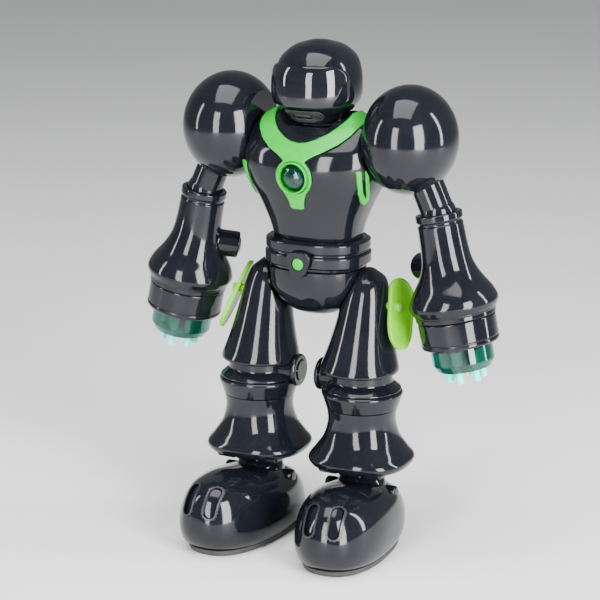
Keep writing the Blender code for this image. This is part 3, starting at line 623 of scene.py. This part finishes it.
def torso():
    cavity = loft("torso_cavity", shrunk(TORSO[:-2], 1.7, widest=40.3), at(), 64, 3)
    sockets = [socket("socket_" + label, side) for label, side in SIDES.items()]
    tools = [cavity, *sockets, neck_dish("neck_dish")]
    tools.append(rod("neck_hole", 14.3, 288, 325, at(), 64))
    tools.append(rod("shaft_hole", 4.5, -50, 50, at(0, 0, SHOULDER.z) @ sideways(1), 32))
    whole = loft("torso_whole", TORSO, at())
    carve(whole, tools, keep=True, solver="MANIFOLD")
    for name, sign in (("torso_front_shell", 1), ("torso_back_shell", -1)):
        shell = linked(name + "_skin", whole.data.copy())
        carve(shell, [split_half(name, sign, 250)], solver="MANIFOLD")
        if sign > 0:
            hole = rod("lens_hole", BEZEL_RADIUS + GAP, -10, 20, at(*LENS) @ FRONT)
            carve(shell, [hole], solver="MANIFOLD")
        else:
            back_openings(shell)
        show(shell, "torso", "gloss_black", name)
    bpy.data.objects.remove(whole)
    collar(sockets)
    for (label, side), hole in zip(SIDES.items(), sockets):
        flank_trim(label, side, hole)
    battery_door(cavity)
    for tool in tools:
        bpy.data.objects.remove(tool)


def back_openings(shell):
    tools = [
        block("door_opening", (DOOR_SIZE, 60, DOOR_SIZE), at(0, 38, DOOR_Z)),
        block("switch_slot", (10, 16, 4.2), at(SWITCH_X, BACK_Y, BACK_ROW_Z)),
        rod("button_hole", 3.7, -8, 8, at(BUTTON_X, BACK_Y, BACK_ROW_Z) @ BACK),
        rod("charge_hole", 4.4, -8, 8, at(0, BACK_Y, BACK_ROW_Z) @ BACK),
    ]
    for x in (-8, -4, 0, 4, 8):
        tools.append(block(f"vent_{x}", (1.6, 14, 7), at(x, 30, 281), 0.7))
    for index, (x, z) in enumerate(BACK_SCREWS):
        tools.append(rod(f"screw_well_{index}", 3.2, 23, 40, at(x, 0, z) @ BACK, 40))
    carve(shell, tools, solver="MANIFOLD")


def battery_door(cavity):
    size = DOOR_SIZE - 2 * GAP
    door = loft("battery_door_skin", TORSO, at())
    carve(door, [cavity], keep=True)
    carve(door, [block("door_outline", (size, 60, size), at(0, 38, DOOR_Z), 0.6)], "INTERSECT")
    grips = [block(f"grip_{z}", (14, 4, 0.9), at(0, 34.2, z), 0.3) for z in (240, 242.4, 244.8)]
    well = rod("door_screw_well", 3.4, 31.6, 40, at(0, 0, DOOR_SCREW_Z) @ BACK, 48)
    carve(door, [*grips, well])
    show(door, "torso", "gloss_black", "battery_door")
    screw("battery_door_screw", 2.6, at(0, 31.2, DOOR_SCREW_Z) @ BACK, "torso")


def collar(sockets):
    half = [(0, 240.8), (3, 240.9), (5, 241.8), (5.4, 245.5), (6.6, 249.4), (8.2, 252.6)]
    half += list(arc(0, LENS.z, DISC_RADIUS, -48, 55, 9))
    half += [(9.6, 276.8), (13.4, 279.2), (20.5, 282.6), (28.5, 287.3), (34.6, 292.8), (38.2, 298.6)]
    half.append((38.6, 307))
    half += [(29, 307), (27.5, 302), (24, 297.6), (19, 293.4), (12, 289.6), (6, 287.5), (0, 286.8)]
    prism = plate("collar_prism", mirrored(half), 66, at(0, -27, 0) @ UPRIGHT)
    skin = inlay("collar_plate_skin", TORSO, GAP, 2.4, prism, at())
    lens_hole = rod("collar_lens_hole", BEZEL_RADIUS + GAP, -10, 20, at(*LENS) @ FRONT)
    carve(skin, sockets, keep=True)
    carve(skin, [lens_hole, neck_dish("collar_dish")])
    melted(skin, 0.45, 8)
    show(skin, "torso", "gloss_green", "collar_plate", sharp=60)


def flank_trim(label, side, hole):
    outer_rib = [(-29, 270), (-27, 262), (-23, 253), (-17.5, 246)]
    foot = [(-13, 243.5), (-10.5, 246)]
    inner_rib = [(-12, 249), (-17, 256.5), (-20.5, 264), (-22, 270)]
    slot = [(-24, 270), (-22.3, 263.3), (-18.7, 255.4), (-14.6, 249.2), (-15.4, 248.2)]
    slot += [(-21.2, 254.3), (-25.1, 262.6), (-27, 270)]
    points = softened(outer_rib + foot + inner_rib + slot, 0.8, closed=True)
    prism = plate("trim_prism_" + label, points, 40, at(side * 38, 0, 0) @ SIDE_ON)
    skin = inlay("flank_trim_skin_" + label, TORSO, GAP, 1.6, prism, at())
    carve(skin, [hole], keep=True)
    melted(skin, 0.3, 4)
    show(skin, "torso", "gloss_green", "flank_trim_" + label, sharp=60)


def chest_light():
    place = at(*LENS) @ FRONT
    ring = [(10.1, 3.2), (BEZEL_RADIUS - 0.4, 3.2), (BEZEL_RADIUS, 2.6), (BEZEL_RADIUS, -5.5)]
    ring += [(LENS_RADIUS + 1.3, -5.5), (LENS_RADIUS + 1.3, 2.2)]
    show(turned("lens_bezel_ring", ring, place, 112, 0.5, True), "torso", "gloss_green", "lens_bezel")
    rim = LENS_RADIUS + 1
    dome = [(0, 3.4), (2.7, 3.2), (5.4, 2.5), (7.6, 1.3), (8.8, 0.2), (rim, -0.8), (rim, -4)]
    dome += [(8.2, -4), (8.2, -1), (6.2, 0.6), (3.4, 1.5), (0, 1.9)]
    show(turned("chest_lens_dome", dome, place, 112, 0.3), "torso", "clear_teal", "chest_lens", sharp=50)
    seat = [(0, 0.9), (1.1, 0.8), (1.3, 0), (2.2, 0), (2.4, 0.7), (3.1, 0.7), (3.3, -0.6), (5.2, -0.6)]
    seat += [(5.4, -0.1), (5.9, -0.1), (6.1, -1.4), (7.9, -1.4), (7.9, -4.6), (0, -4.6)]
    show(turned("lens_light_seat", seat, place, 96, 0.15), "torso", "clear_teal", look=LIGHT_LOOK)


def back_controls():
    place = at(0, BACK_Y, BACK_ROW_Z) @ BACK
    jack = [(4, 1.4), (4, -5), (1.4, -5), (1.4, 1.4)]
    show(turned("charge_jack", jack, place, 48, 0.25, True), "torso", "steel", "charge_socket")
    knob_x = SWITCH_X - 2
    knob = block("power_knob", (5, 5, 3.4), at(knob_x, BACK_Y, BACK_ROW_Z), 0.4)
    ribs = [
        block(f"knob_rib_{x}", (0.5, 1, 5), at(knob_x + x, BACK_Y + 2.5, BACK_ROW_Z)) for x in (-1.2, 0, 1.2)
    ]
    show(carve(knob, ribs), "power_switch", "satin_black", "power_switch")
    cap = [(0, 2.6), (2.2, 2.55), (3.2, 1.9), (3.2, -3), (0, -3)]
    place = at(BUTTON_X, BACK_Y, BACK_ROW_Z) @ BACK
    show(turned("mode_button_cap", cap, place, 48, 0.4), "mode_button", "gloss_green", "mode_button")
    for index, (x, z) in enumerate(BACK_SCREWS):
        screw(f"back_screw_{index}", 2.5, at(x, 22.4, z) @ BACK, "torso")


# ---------- waist ----------
def waist():
    rows = softened(BELT, 0.7, 3)
    belt = loft("waist_belt_band", rows, at(), 128, 1)
    carve(belt, [rod("belt_bore", 14, 180, 230, at(), 64)])
    show(belt, "torso", "gloss_black", "waist_belt")
    top_open = [(163.5, 0, 8, 7, 7, 2.2)]
    top_open += [(z + 1.4, y, w - WALL, f - WALL, b - WALL, p) for z, y, w, f, b, p in PELVIS[1:]]
    top_open.append((205, 0, 31, 25.4, 23.4, 2.5))
    cavity = loft("pelvis_cavity", top_open, at(), 64, 3)
    axle = rod("axle_holes", 3.4, -60, 60, at(0, 0, HIP.z) @ sideways(1), 32)
    for name, sign in (("pelvis_front_shell", 1), ("pelvis_back_shell", -1)):
        shell = loft(name + "_skin", PELVIS, at())
        carve(shell, [split_half(name, sign, 180)])
        carve(shell, [cavity, axle], keep=True)
        show(shell, "torso", "gloss_black", name)
    bpy.data.objects.remove(cavity)
    bpy.data.objects.remove(axle)
    half = [(0, -9.5), (3, -8.2), (6.4, -4), (8.5, 1.5), (9, 5.5), (7.6, 8.2), (4, 9.4), (0, 9.7)]
    shield = plate("buckle_shield", curved(mirrored(half), 3), 3.0, at(0, BUCKLE_Y, BUCKLE_Z) @ UPRIGHT, 0.8)
    carve(shield, [rod("buckle_well", 4.6, 0.7, 4, at(0, BUCKLE_Y, LAMP_Z) @ FRONT, 48)])
    show(shield, "torso", "gloss_black", "buckle")
    lamp = [(0, 1.9), (2.2, 1.8), (3.6, 1.35), (4.2, 0.9), (4.2, 0.4), (0, 0.4)]
    show(turned("buckle_lamp", lamp, at(0, BUCKLE_Y, LAMP_Z) @ FRONT, 64, 0.2), "torso", "gloss_green")


# ---------- head ----------
def head():
    helmet = loft("helmet_skin", HELMET, at(), crown=1.1)
    cavity = loft("helmet_cavity", shrunk(HELMET, WALL), at(), 64, 3)
    carve(helmet, [cavity, rod("helmet_neck_hole", 10.6, 290, 304, at(), 64)])
    show(helmet, "head", "gloss_black", "helmet_shell")
    face = list(arc(21, 317.5, 7.5, -90, 0, 8)) + list(arc(19, 329, 9.5, 0, 90, 8))
    prism = plate("visor_prism", mirrored([(0, 310)] + face + [(0, 338.5)]), 56, at(0, -30, 0) @ UPRIGHT)
    skin = inlay("visor_skin", HELMET, GAP, 2.2, prism, at())
    show(melted(skin, 0.5, 10), "head", "smoked_visor", "visor", sharp=60)
    half = [(0, 299.1), (7, 299.2), (10.7, 300.2), (14.3, 303.7), (14.2, 306.4), (12.4, 308), (0, 308.1)]
    prism = plate("chin_prism", mirrored(half), 50, at(0, -28, 0) @ UPRIGHT)
    skin = inlay("chin_guard_skin", HELMET, GAP, 2.2, prism, at())
    vents = [block(f"chin_vent_{z}", (12, 30, 0.8), at(0, -25, z), 0.3) for z in (302.4, 304.6)]
    carve(skin, vents)
    show(melted(skin, 0.35, 5), "head", "satin_black", "chin_guard", sharp=60)
    post = [(0, 308), (12.6, 308), (12.6, 305), (9, 303), (9, NECK.z), (0, NECK.z)]
    show(turned("neck_post_turned", post, at(), 64, 0.4), "head", "satin_black", "neck_post")
    bearing = [(9.4, 297), (12.6, 297), (13.8, 296.2), (13.8, 293.8), (9.4, 293.8)]
    show(turned("neck_bearing_ring", bearing, at(), 64, 0.3, True), "torso", "satin_black", "neck_bearing")


# ---------- arms ----------
def shoulder(label, side):
    place = at(side * SHOULDER.x, 0, SHOULDER.z)
    profile = spheroid(BALL_RADIUS, BALL_HALF_LENGTH, BALL_FACE, 56)
    profile += [(HUB_RADIUS, -BALL_FACE), (HUB_RADIUS, -HUB_DEPTH), (0, -HUB_DEPTH)]
    ball = turned("shoulder_ball_shell_" + label, profile, place @ sideways(side), 128, 0.3)
    inner = spheroid(BALL_RADIUS - WALL, BALL_HALF_LENGTH - WALL, BALL_FACE - WALL, 16)
    inner += [(7, WALL - BALL_FACE), (7, WALL - HUB_DEPTH), (0, WALL - HUB_DEPTH)]
    elbow = Vector((side * (ELBOW.x - SHOULDER.x), 0, ELBOW.z - SHOULDER.z))
    along = place @ towards(elbow)
    hole = rod("ball_hole_" + label, LINK_RADIUS + 0.5, 20, 60, along, 64)
    carve(ball, [turned("ball_cavity_" + label, inner, place @ sideways(side), 48, 0), hole])
    show(ball, "arm_" + label, "gloss_black", "shoulder_ball_" + label)
    stop = math.pi - math.asin(PIN_RADIUS / ELBOW_RADIUS)
    angles = [stop * step / 24 for step in range(25)]
    knuckle = [(ELBOW_RADIUS * math.sin(a), -ELBOW_RADIUS * math.cos(a)) for a in angles]
    knuckle += [(PIN_RADIUS, 18.8), (8, 18.8), (8, 22), (0, 22)]
    link = hung("upper_arm_bar_" + label, knuckle, forearm_place(side), 96, 0.3)
    bar = [(0, 53), (LINK_RADIUS, 53), (LINK_RADIUS, 14), (0, 14)]
    carve(link, [turned("link_bar_" + label, bar, along, 96, 0.4)], "UNION")
    show(link, "arm_" + label, "gloss_black", "upper_arm_link_" + label)


def forearm_place(side, x=0.0, y=0.0):
    joint = JOINTS["forearm_swivel_left" if side > 0 else "forearm_swivel_right"]
    up = -Vector(joint["axis"])
    return at(side * ELBOW.x, 0, ELBOW.z) @ towards(up) @ Matrix.Translation((x, y, 0))


def forearm(label, side):
    place = forearm_place(side)
    body = "forearm_" + label
    neck = ELBOW_RADIUS + 0.4
    profile = [(neck, -1), (15.4, -1), (16.2, -0.2), (16.2, 3.8), (14.9, 4.8), (14.9, 6.4), (15.8, 7.2)]
    flare = [tuple(point) for point in blended(FOREARM_FLARE, 6)]
    profile += flare + [(29.2, 66.4), (28.4, 67), (28.4, 68), (27.8, 68.4), (27.8, FOREARM_END)]
    profile += [(27.8 - WALL, FOREARM_END)]
    profile += [(radius - WALL, down) for radius, down in reversed(FOREARM_FLARE) if down > 20]
    profile += [(13.4, 18.4), (PIN_RADIUS + 0.4, 18.4), (PIN_RADIUS + 0.4, 14.4), (neck, 13.4)]
    shell = hung("forearm_skin_" + label, profile, place, 128, 0.6, True)
    direction = Vector((-side * math.cos(BOSS_BACK), math.sin(BOSS_BACK), 0))
    out = place @ Matrix.Translation((0, 0, -BOSS_DOWN)) @ towards(direction)
    boss = [(0, 31), (9.6, 31), (9.6, 15), (12, 12), (0, 12)]
    carve(shell, [turned("boss_" + label, boss, out, 72, 1.2)], "UNION", solver="MANIFOLD")
    well = rod("button_well_" + label, 6.4, 26.2, 36, out, 64)
    bore = hung("forearm_bore_" + label, [(0, 19), (12.8, 19), (14.5, 36), (0, 36)], place, 64, 0)
    carve(shell, [well, bore], solver="MANIFOLD")
    show(shell, body, "gloss_black", "forearm_shell_" + label)
    button = [(0, 32.6), (4.4, 32.4), (6, 31.4), (6, 28), (0, 28)]
    show(turned("launch_button_cap_" + label, button, out, 64, 0.5), "launch_button_" + label,
         "satin_black", "launch_button_" + label)
    cup = [(26.2, FOREARM_END + GAP), (27, 72.6), (27, 86.6), (26.5, 87), (26.5, 87.7), (27, 88.1)]
    cup += [(27, 89.8), (25.8, CUP_END), (4.6, CUP_END), (4.6, 88.4), (24.2, 88.4), (24.2, FOREARM_END + GAP)]
    show(hung("launcher_cup_ring_" + label, cup, place, 128, 0.5, True), body, "gloss_black",
         "launcher_cup_" + label)
    barrel(label, side)


def barrel(label, side):
    """Clear drum with its tubes inside, which end in nozzles."""
    place, body = forearm_place(side), "barrel_" + label
    top, floor = CUP_END + 0.4, BARREL_END - 3
    drum = [(20.1, top), (21.5, top), (21.5, BARREL_END - 5), (18.4, BARREL_END), (1, BARREL_END)]
    drum += [(1, BARREL_END - 1.6), (17.6, BARREL_END - 1.6), (20.1, BARREL_END - 5.4)]
    shell = hung("barrel_drum_" + label, drum, place, 112, 0.5, True)
    holes = []
    for index in range(NOZZLE_COUNT):
        angle = 2 * math.pi * (index + 0.5) / NOZZLE_COUNT
        x, y = NOZZLE_RING * math.cos(angle), NOZZLE_RING * math.sin(angle)
        spot = forearm_place(side, x, y)
        ends = -BARREL_END - 4, -BARREL_END + 4
        holes.append(rod(f"nozzle_hole_{label}_{index}", NOZZLE_RADIUS + 0.05, *ends, spot, 32))
        nozzle(f"nozzle_{label}_{index}", spot, body)
    carve(shell, holes)
    show(shell, body, "clear_teal", "launch_barrel_" + label)
    core = [(0, 79), (4, 79), (4, top + 0.6), (19.4, top + 0.6), (19.4, top + 1.8), (7.6, top + 1.8)]
    core += [(7.6, floor), (0, floor)]
    show(hung("barrel_core_" + label, core, place, 72, 0.3), body, "clear_teal", look=LOOKS["satin_black"])


def nozzle(name, place, body):
    tip, down = NOZZLE_RADIUS, BARREL_END + NOZZLE_LENGTH
    tube = [(0, 93.4), (3.7, 93.4), (3.7, 102.6), (3, 104.4), (tip, 105.2), (tip, down - 2.2)]
    tube += [(tip + 0.25, down - 2), (tip + 0.25, down), (tip - 1, down), (tip - 1, down - 6), (0, down - 6)]
    show(hung(name, tube, place, 40, 0.25), body, "clear_teal", look=TUBE_LOOK)


# ---------- legs ----------
def leg(label, side):
    body = "leg_" + label
    thigh = loft("thigh_skin_" + label, THIGH, at(side * THIGH_X), crown=3.0)
    inside = loft("thigh_inside_" + label, shrunk(THIGH, WALL, low_open=6), at(side * THIGH_X), 64, 3)
    room = loft("pelvis_room_" + label, grown(PELVIS, 1.2, 4.5, low=3, high=12), at(), 96, 5)
    notch = block("notch_" + label, (30, 80, 40), at(side * (NOTCH_X - 15), 0, NOTCH_Z + 20))
    carve(thigh, [inside, room, notch])
    peg_at = at(side * FIN_PEG.x, FIN_PEG.y, FIN_PEG.z) @ sideways(side)
    carve(thigh, [rod("peg_hole_" + label, 3.3, -2, 8, peg_at, 32)])
    show(thigh, body, "gloss_black", "thigh_shell_" + label)
    fin(label, side, peg_at)
    knee(label, side)
    place = at(side * ANKLE.x, ANKLE.y)
    cuff = [(6, 113.2), (27.3, 113.2), (28.5, 112), (28.5, 110.6), (25.4, 101), (6, 101)]
    show(turned("cuff_band_" + label, cuff, place, 112, 0.6, True), body, "gloss_black", "cuff_ring_" + label)
    shin = loft("shin_skin_" + label, SHIN, place)
    inside = loft("shin_inside_" + label, shrunk(SHIN, WALL, low_open=4), place, 64, 3)
    carve(shin, [inside, rod("shin_hole_" + label, 6, 90, 104, place, 32)])
    show(shin, body, "gloss_black", "shin_shell_" + label)
    ankle(label, side)


def fin(label, side, peg_at):
    lean_in = Quaternion((0, 1, 0), -side * FIN_LEAN_IN)
    lean = lean_in @ Quaternion((1, 0, 0), -FIN_LEAN_BACK) @ Quaternion((0, 0, 1), -side * FIN_TOE_IN)
    turn = at(side * FIN.x, FIN.y, FIN.z) @ lean.to_matrix().to_4x4() @ SIDE_ON
    points = list(arc(0, 14.5, 12.5, 0, 180, 28)) + [(-12.5, -10), (-10.5, -20), (-3, -26), (6, -24)]
    points += [(11, -14)]
    body = plate("hip_fin_plate_" + label, softened(points, 4, 6, True), 3.2, turn, 0.9)
    middle = [(x * 0.8, y * 0.88 + 0.4) for x, y in points]
    for face in (-1, 1):
        panel = plate(f"fin_panel_{label}_{face}", softened(middle, 3, 6, True), 0.8,
                      turn @ Matrix.Translation((0, 0, face * 1.7)), 0.3)
        carve(body, [panel])
    peg_length = FIN.x + 0.6 - FIN_PEG.x
    peg = turned("fin_peg_" + label, [(0, peg_length), (3, peg_length), (3, 0), (0, 0)], peg_at, 48, 0.5)
    carve(body, [peg], "UNION")
    show(body, "leg_" + label, "gloss_lime", "hip_fin_" + label)


def knee(label, side):
    place = at(side * ANKLE.x, ANKLE.y)
    profile = [(7.4, 137), (13.5, 137), (18.6, 133), (21, 128), (21.6, 119.5), (27.4, 114.6)]
    profile += [(27.4, 113.6), (7.4, 113.6)]
    link = turned("knee_band_" + label, profile, place, 112, 0.8, True)
    cap_place = at(side * ANKLE.x, ANKLE.y, KNEE_CAP_Z) @ sideways(-side)
    cap = [(0, 33.6), (7, 33.6), (8, 32.6), (10.6, 32.6), (11.6, 31.6), (11.6, 29.8), (9.4, 28.6)]
    cap += [(9.4, 16), (0, 16)]
    carve(link, [turned("knee_cap_" + label, cap, cap_place, 80, 0.5)], "UNION")
    carve(link, [rod("knee_bore_" + label, 7.4, 112, 140, place, 48)])
    show(link, "leg_" + label, "satin_black", "knee_link_" + label, look=LOOKS["gloss_black"])


def ankle(label, side):
    place = at(side * ANKLE.x, ANKLE.y, ANKLE.z)
    stop = math.radians(30)
    angles = [stop + (math.pi - stop) * step / 40 for step in range(41)]
    profile = [(ANKLE_RADIUS * math.sin(a), ANKLE_RADIUS * math.cos(a)) for a in angles]
    ball = turned("ankle_ball_" + label, [(0, profile[0][1])] + profile, place, 96, 0)
    pins = rod("ankle_pins_" + label, 2.5, -23, 23, place @ sideways(1), 32)
    top = block("ankle_top_" + label, (48, 44, 12), at(side * ANKLE.x, ANKLE.y, 60.6), 2.4)
    carve(ball, [pins, top], "UNION")
    straps = [
        block(f"strap_groove_{label}_{x}", (2.4, 60, 3), at(side * ANKLE.x + x, ANKLE.y, 54.6))
        for x in (-9, 9)
    ]
    carve(ball, [rod("strut_socket_" + label, 4.4, 61, 70, at(side * ANKLE.x, ANKLE.y), 32), *straps])
    show(ball, "leg_" + label, "gloss_black", "ankle_block_" + label)


# ---------- feet ----------
def foot_place(side, x=0.0, y=0.0, z=0.0):
    turn = Quaternion((0, 0, 1), side * TOE_OUT).to_matrix().to_4x4()
    return at(side * ANKLE.x, ANKLE.y) @ turn @ Matrix.Translation((x, y - ANKLE.y, z))


def foot(label, side):
    body = "foot_" + label
    shell = loft("foot_skin_" + label, FOOT, foot_place(side), 128, 8, 0.8)
    inside = loft("foot_inside_" + label, shrunk(FOOT, WALL, low_open=4), foot_place(side), 64, 3)
    carve(shell, [inside])
    pin = at(side * ANKLE.x, ANKLE.y, ANKLE.z)
    bosses = [rod(f"ankle_boss_{label}_{end}", 5, 18, 27, pin @ sideways(end), 64, 2.4) for end in (-1, 1)]
    carve(shell, bosses, "UNION")
    radius = ANKLE_RADIUS + 0.6
    angles = [math.pi * step / 32 for step in range(33)]
    profile = [(radius * math.sin(a), radius * math.cos(a)) for a in angles]
    room = turned("ankle_room_" + label, profile, pin, 96, 0)
    carve(shell, [room, rod("ankle_holes_" + label, 2.9, -24, 24, pin @ sideways(1), 32)])
    for x in TOE_SLOTS_X:
        toe_slot(f"{label}_{x}", x, side, shell)
    show(shell, body, "gloss_black", "foot_shell_" + label)
    sole(label, side)
    half = [(0, 7.6), (1.5, 7.6), (1.5, 3.9), (7.6, 3.5), (9, 2.4), (9, 1.2), (8.4, 0.9), (8.4, 0.4)]
    half.append((9, 0.2))
    profile = half + [(radius, -x) for radius, x in reversed(half)]
    wheel_at = foot_place(side, WHEEL.x, WHEEL.y, WHEEL.z) @ sideways(1)
    show(turned("drive_wheel_tyre_" + label, profile, wheel_at, 72, 0.3), "wheel_" + label, "rubber",
         "drive_wheel_" + label)


def toe_slot(name, x, side, shell):
    """Long slot sunk in the front of the toe, with a raised rim that is knurled all round."""
    tilt = Quaternion((1, 0, 0), math.radians(60)).to_matrix().to_4x4()
    place = foot_place(side, x, -53, 20) @ tilt @ Matrix.Translation((0, 0, 43))
    half = 7.5
    ends = list(arc(0, 0, 1, 0, 180, 12))
    right = [(1, 0, -half + 1.25 * step) for step in range(12)]
    left = [(-1, 0, half - 1.25 * step) for step in range(12)]
    track = right + [(c, s, half) for c, s in ends[:-1]] + left + [(-c, -s, -half) for c, s in ends[:-1]]

    def outline(radius, tooth=0.0):
        reach = [radius + (tooth if index % 2 else 0) for index in range(len(track))]
        return [(c * r, middle + s * r) for (c, s, middle), r in zip(track, reach)]

    well = foot_skin("toe_well_" + name, side, -2.0, 3.0)
    carve(well, [plate("toe_well_prism_" + name, outline(4.0), 30, place)], "INTERSECT")
    carve(shell, [well], keep=True)
    rim = foot_skin("toe_rim_" + name, side, 0.0, 0.9)
    carve(rim, [plate("toe_rim_prism_" + name, outline(4.9, 0.7), 30, place)], "INTERSECT")
    carve(rim, [well])
    show(rim, "foot_left" if side > 0 else "foot_right", "satin_black", sharp=20)


def foot_skin(name, side, inner, outer):
    skin = loft(name, grown(FOOT, outer, high=outer), foot_place(side), 96, 6)
    under = loft(name + "_under", grown(FOOT, inner, high=inner), foot_place(side), 96, 6)
    return carve(skin, [under])


def sole(label, side):
    """Rubber sole with a row of treads, a slot for the wheel and the two posts that hold it."""
    rows = softened([(0, -32, 20, 46, 40, 2.4)] + SOLE, 0.7, 3)
    body = loft("sole_tread_" + label, rows, foot_place(side), 128, 1)
    posts = [block(f"wheel_post_{label}_{x}", (2.6, 8, 9), foot_place(side, x, WHEEL.y, 8)) for x in (-6, 6)]
    carve(body, posts, "UNION")
    tools = [block("wheel_slot_" + label, (9, 22, 24), foot_place(side, 0, WHEEL.y, 0))]
    tools.append(rod("wheel_bore_" + label, 1.9, -9, 9, foot_place(side, *WHEEL) @ sideways(1), 32))
    for y in range(-74, 2, 8):
        tools.append(block(f"tread_{label}_{y}", (40, 2.2, 2.4), foot_place(side, 0, y, 0), 0.5))
    carve(body, tools)
    show(body, "foot_" + label, "rubber", "sole_plate_" + label)


def carried_over():
    """The inner CAD nodes that stay as they are, in finished materials."""
    looks = {"battery_pack": "satin_black", "main_board": "circuit_board", "speaker": "satin_black",
             "shoulder_shaft": "steel", "walk_gearbox": "satin_black"}
    for label in SIDES:
        looks["hip_axle_" + label] = "steel"
        looks["leg_strut_" + label] = "satin_black"
    for node, slot in looks.items():
        frame["nodes"][node].data.materials.clear()
        frame["nodes"][node].data.materials.append(LOOKS[slot])


# ---------- studio ----------
def studio():
    material, tree, shader = new_material("pale_floor")
    tone = add_range(tree, add_noise(tree, 3, 3), 0.3, 0.7, 0.0, 1.0)
    tree.links.new(add_mix(tree, tone, (0.80, 0.80, 0.80), (0.83, 0.83, 0.83)), shader.inputs["Base Color"])
    shader.inputs["Roughness"].default_value = 0.6
    bm = bmesh.new()
    bmesh.ops.create_grid(bm, x_segments=8, y_segments=8, size=6.0)
    mesh = bpy.data.meshes.new("floor")
    bm.to_mesh(mesh)
    bm.free()
    floor = linked("floor", mesh)
    floor.data.materials.append(material)
    world = bpy.data.worlds.new("studio")
    world.use_nodes = True
    world.node_tree.nodes["Background"].inputs["Color"].default_value = (0.86, 0.88, 0.9, 1)
    world.node_tree.nodes["Background"].inputs["Strength"].default_value = 0.36
    bpy.context.scene.world = world
    softbox("key_strip", 60, 14, 1.5, (0.56, 1.3), 72)
    softbox("front_strip", -2, 14, 1.6, (0.42, 1.3), 36)
    softbox("rim_strip", 112, 20, 1.4, (0.12, 1.2), 14)
    softbox("left_strip", -60, 18, 1.5, (0.14, 1.1), 10)
    softbox("overhead", 10, 78, 1.7, (1.3, 1.3), 40)


def aimed(obj, azimuth, elevation, distance):
    """Set a lamp or a camera that far from the middle of the robot, looking at it."""
    middle = (CAD_BOX[0] + CAD_BOX[1]) / 2
    turn, rise = math.radians(azimuth), math.radians(elevation)
    away = Vector((math.sin(turn) * math.cos(rise), -math.cos(turn) * math.cos(rise), math.sin(rise)))
    obj.location = middle + away * distance
    obj.rotation_euler = (-away).to_track_quat("-Z", "Y").to_euler()


def softbox(name, azimuth, elevation, distance, size, power):
    light = bpy.data.lights.new(name, "AREA")
    light.shape = "RECTANGLE"
    light.size, light.size_y = size
    light.energy = power
    aimed(linked(name, light), azimuth, elevation, distance)


def camera():
    lens = bpy.data.cameras.new("camera")
    lens.lens = CAMERA_LENS
    viewer = linked("camera", lens)
    aimed(viewer, CAMERA_AZIMUTH, CAMERA_ELEVATION, CAMERA_DISTANCE)
    bpy.context.scene.camera = viewer


torso()
chest_light()
back_controls()
waist()
head()
for LABEL, SIDE in SIDES.items():
    shoulder(LABEL, SIDE)
    forearm(LABEL, SIDE)
    leg(LABEL, SIDE)
    foot(LABEL, SIDE)
carried_over()
studio()
camera()
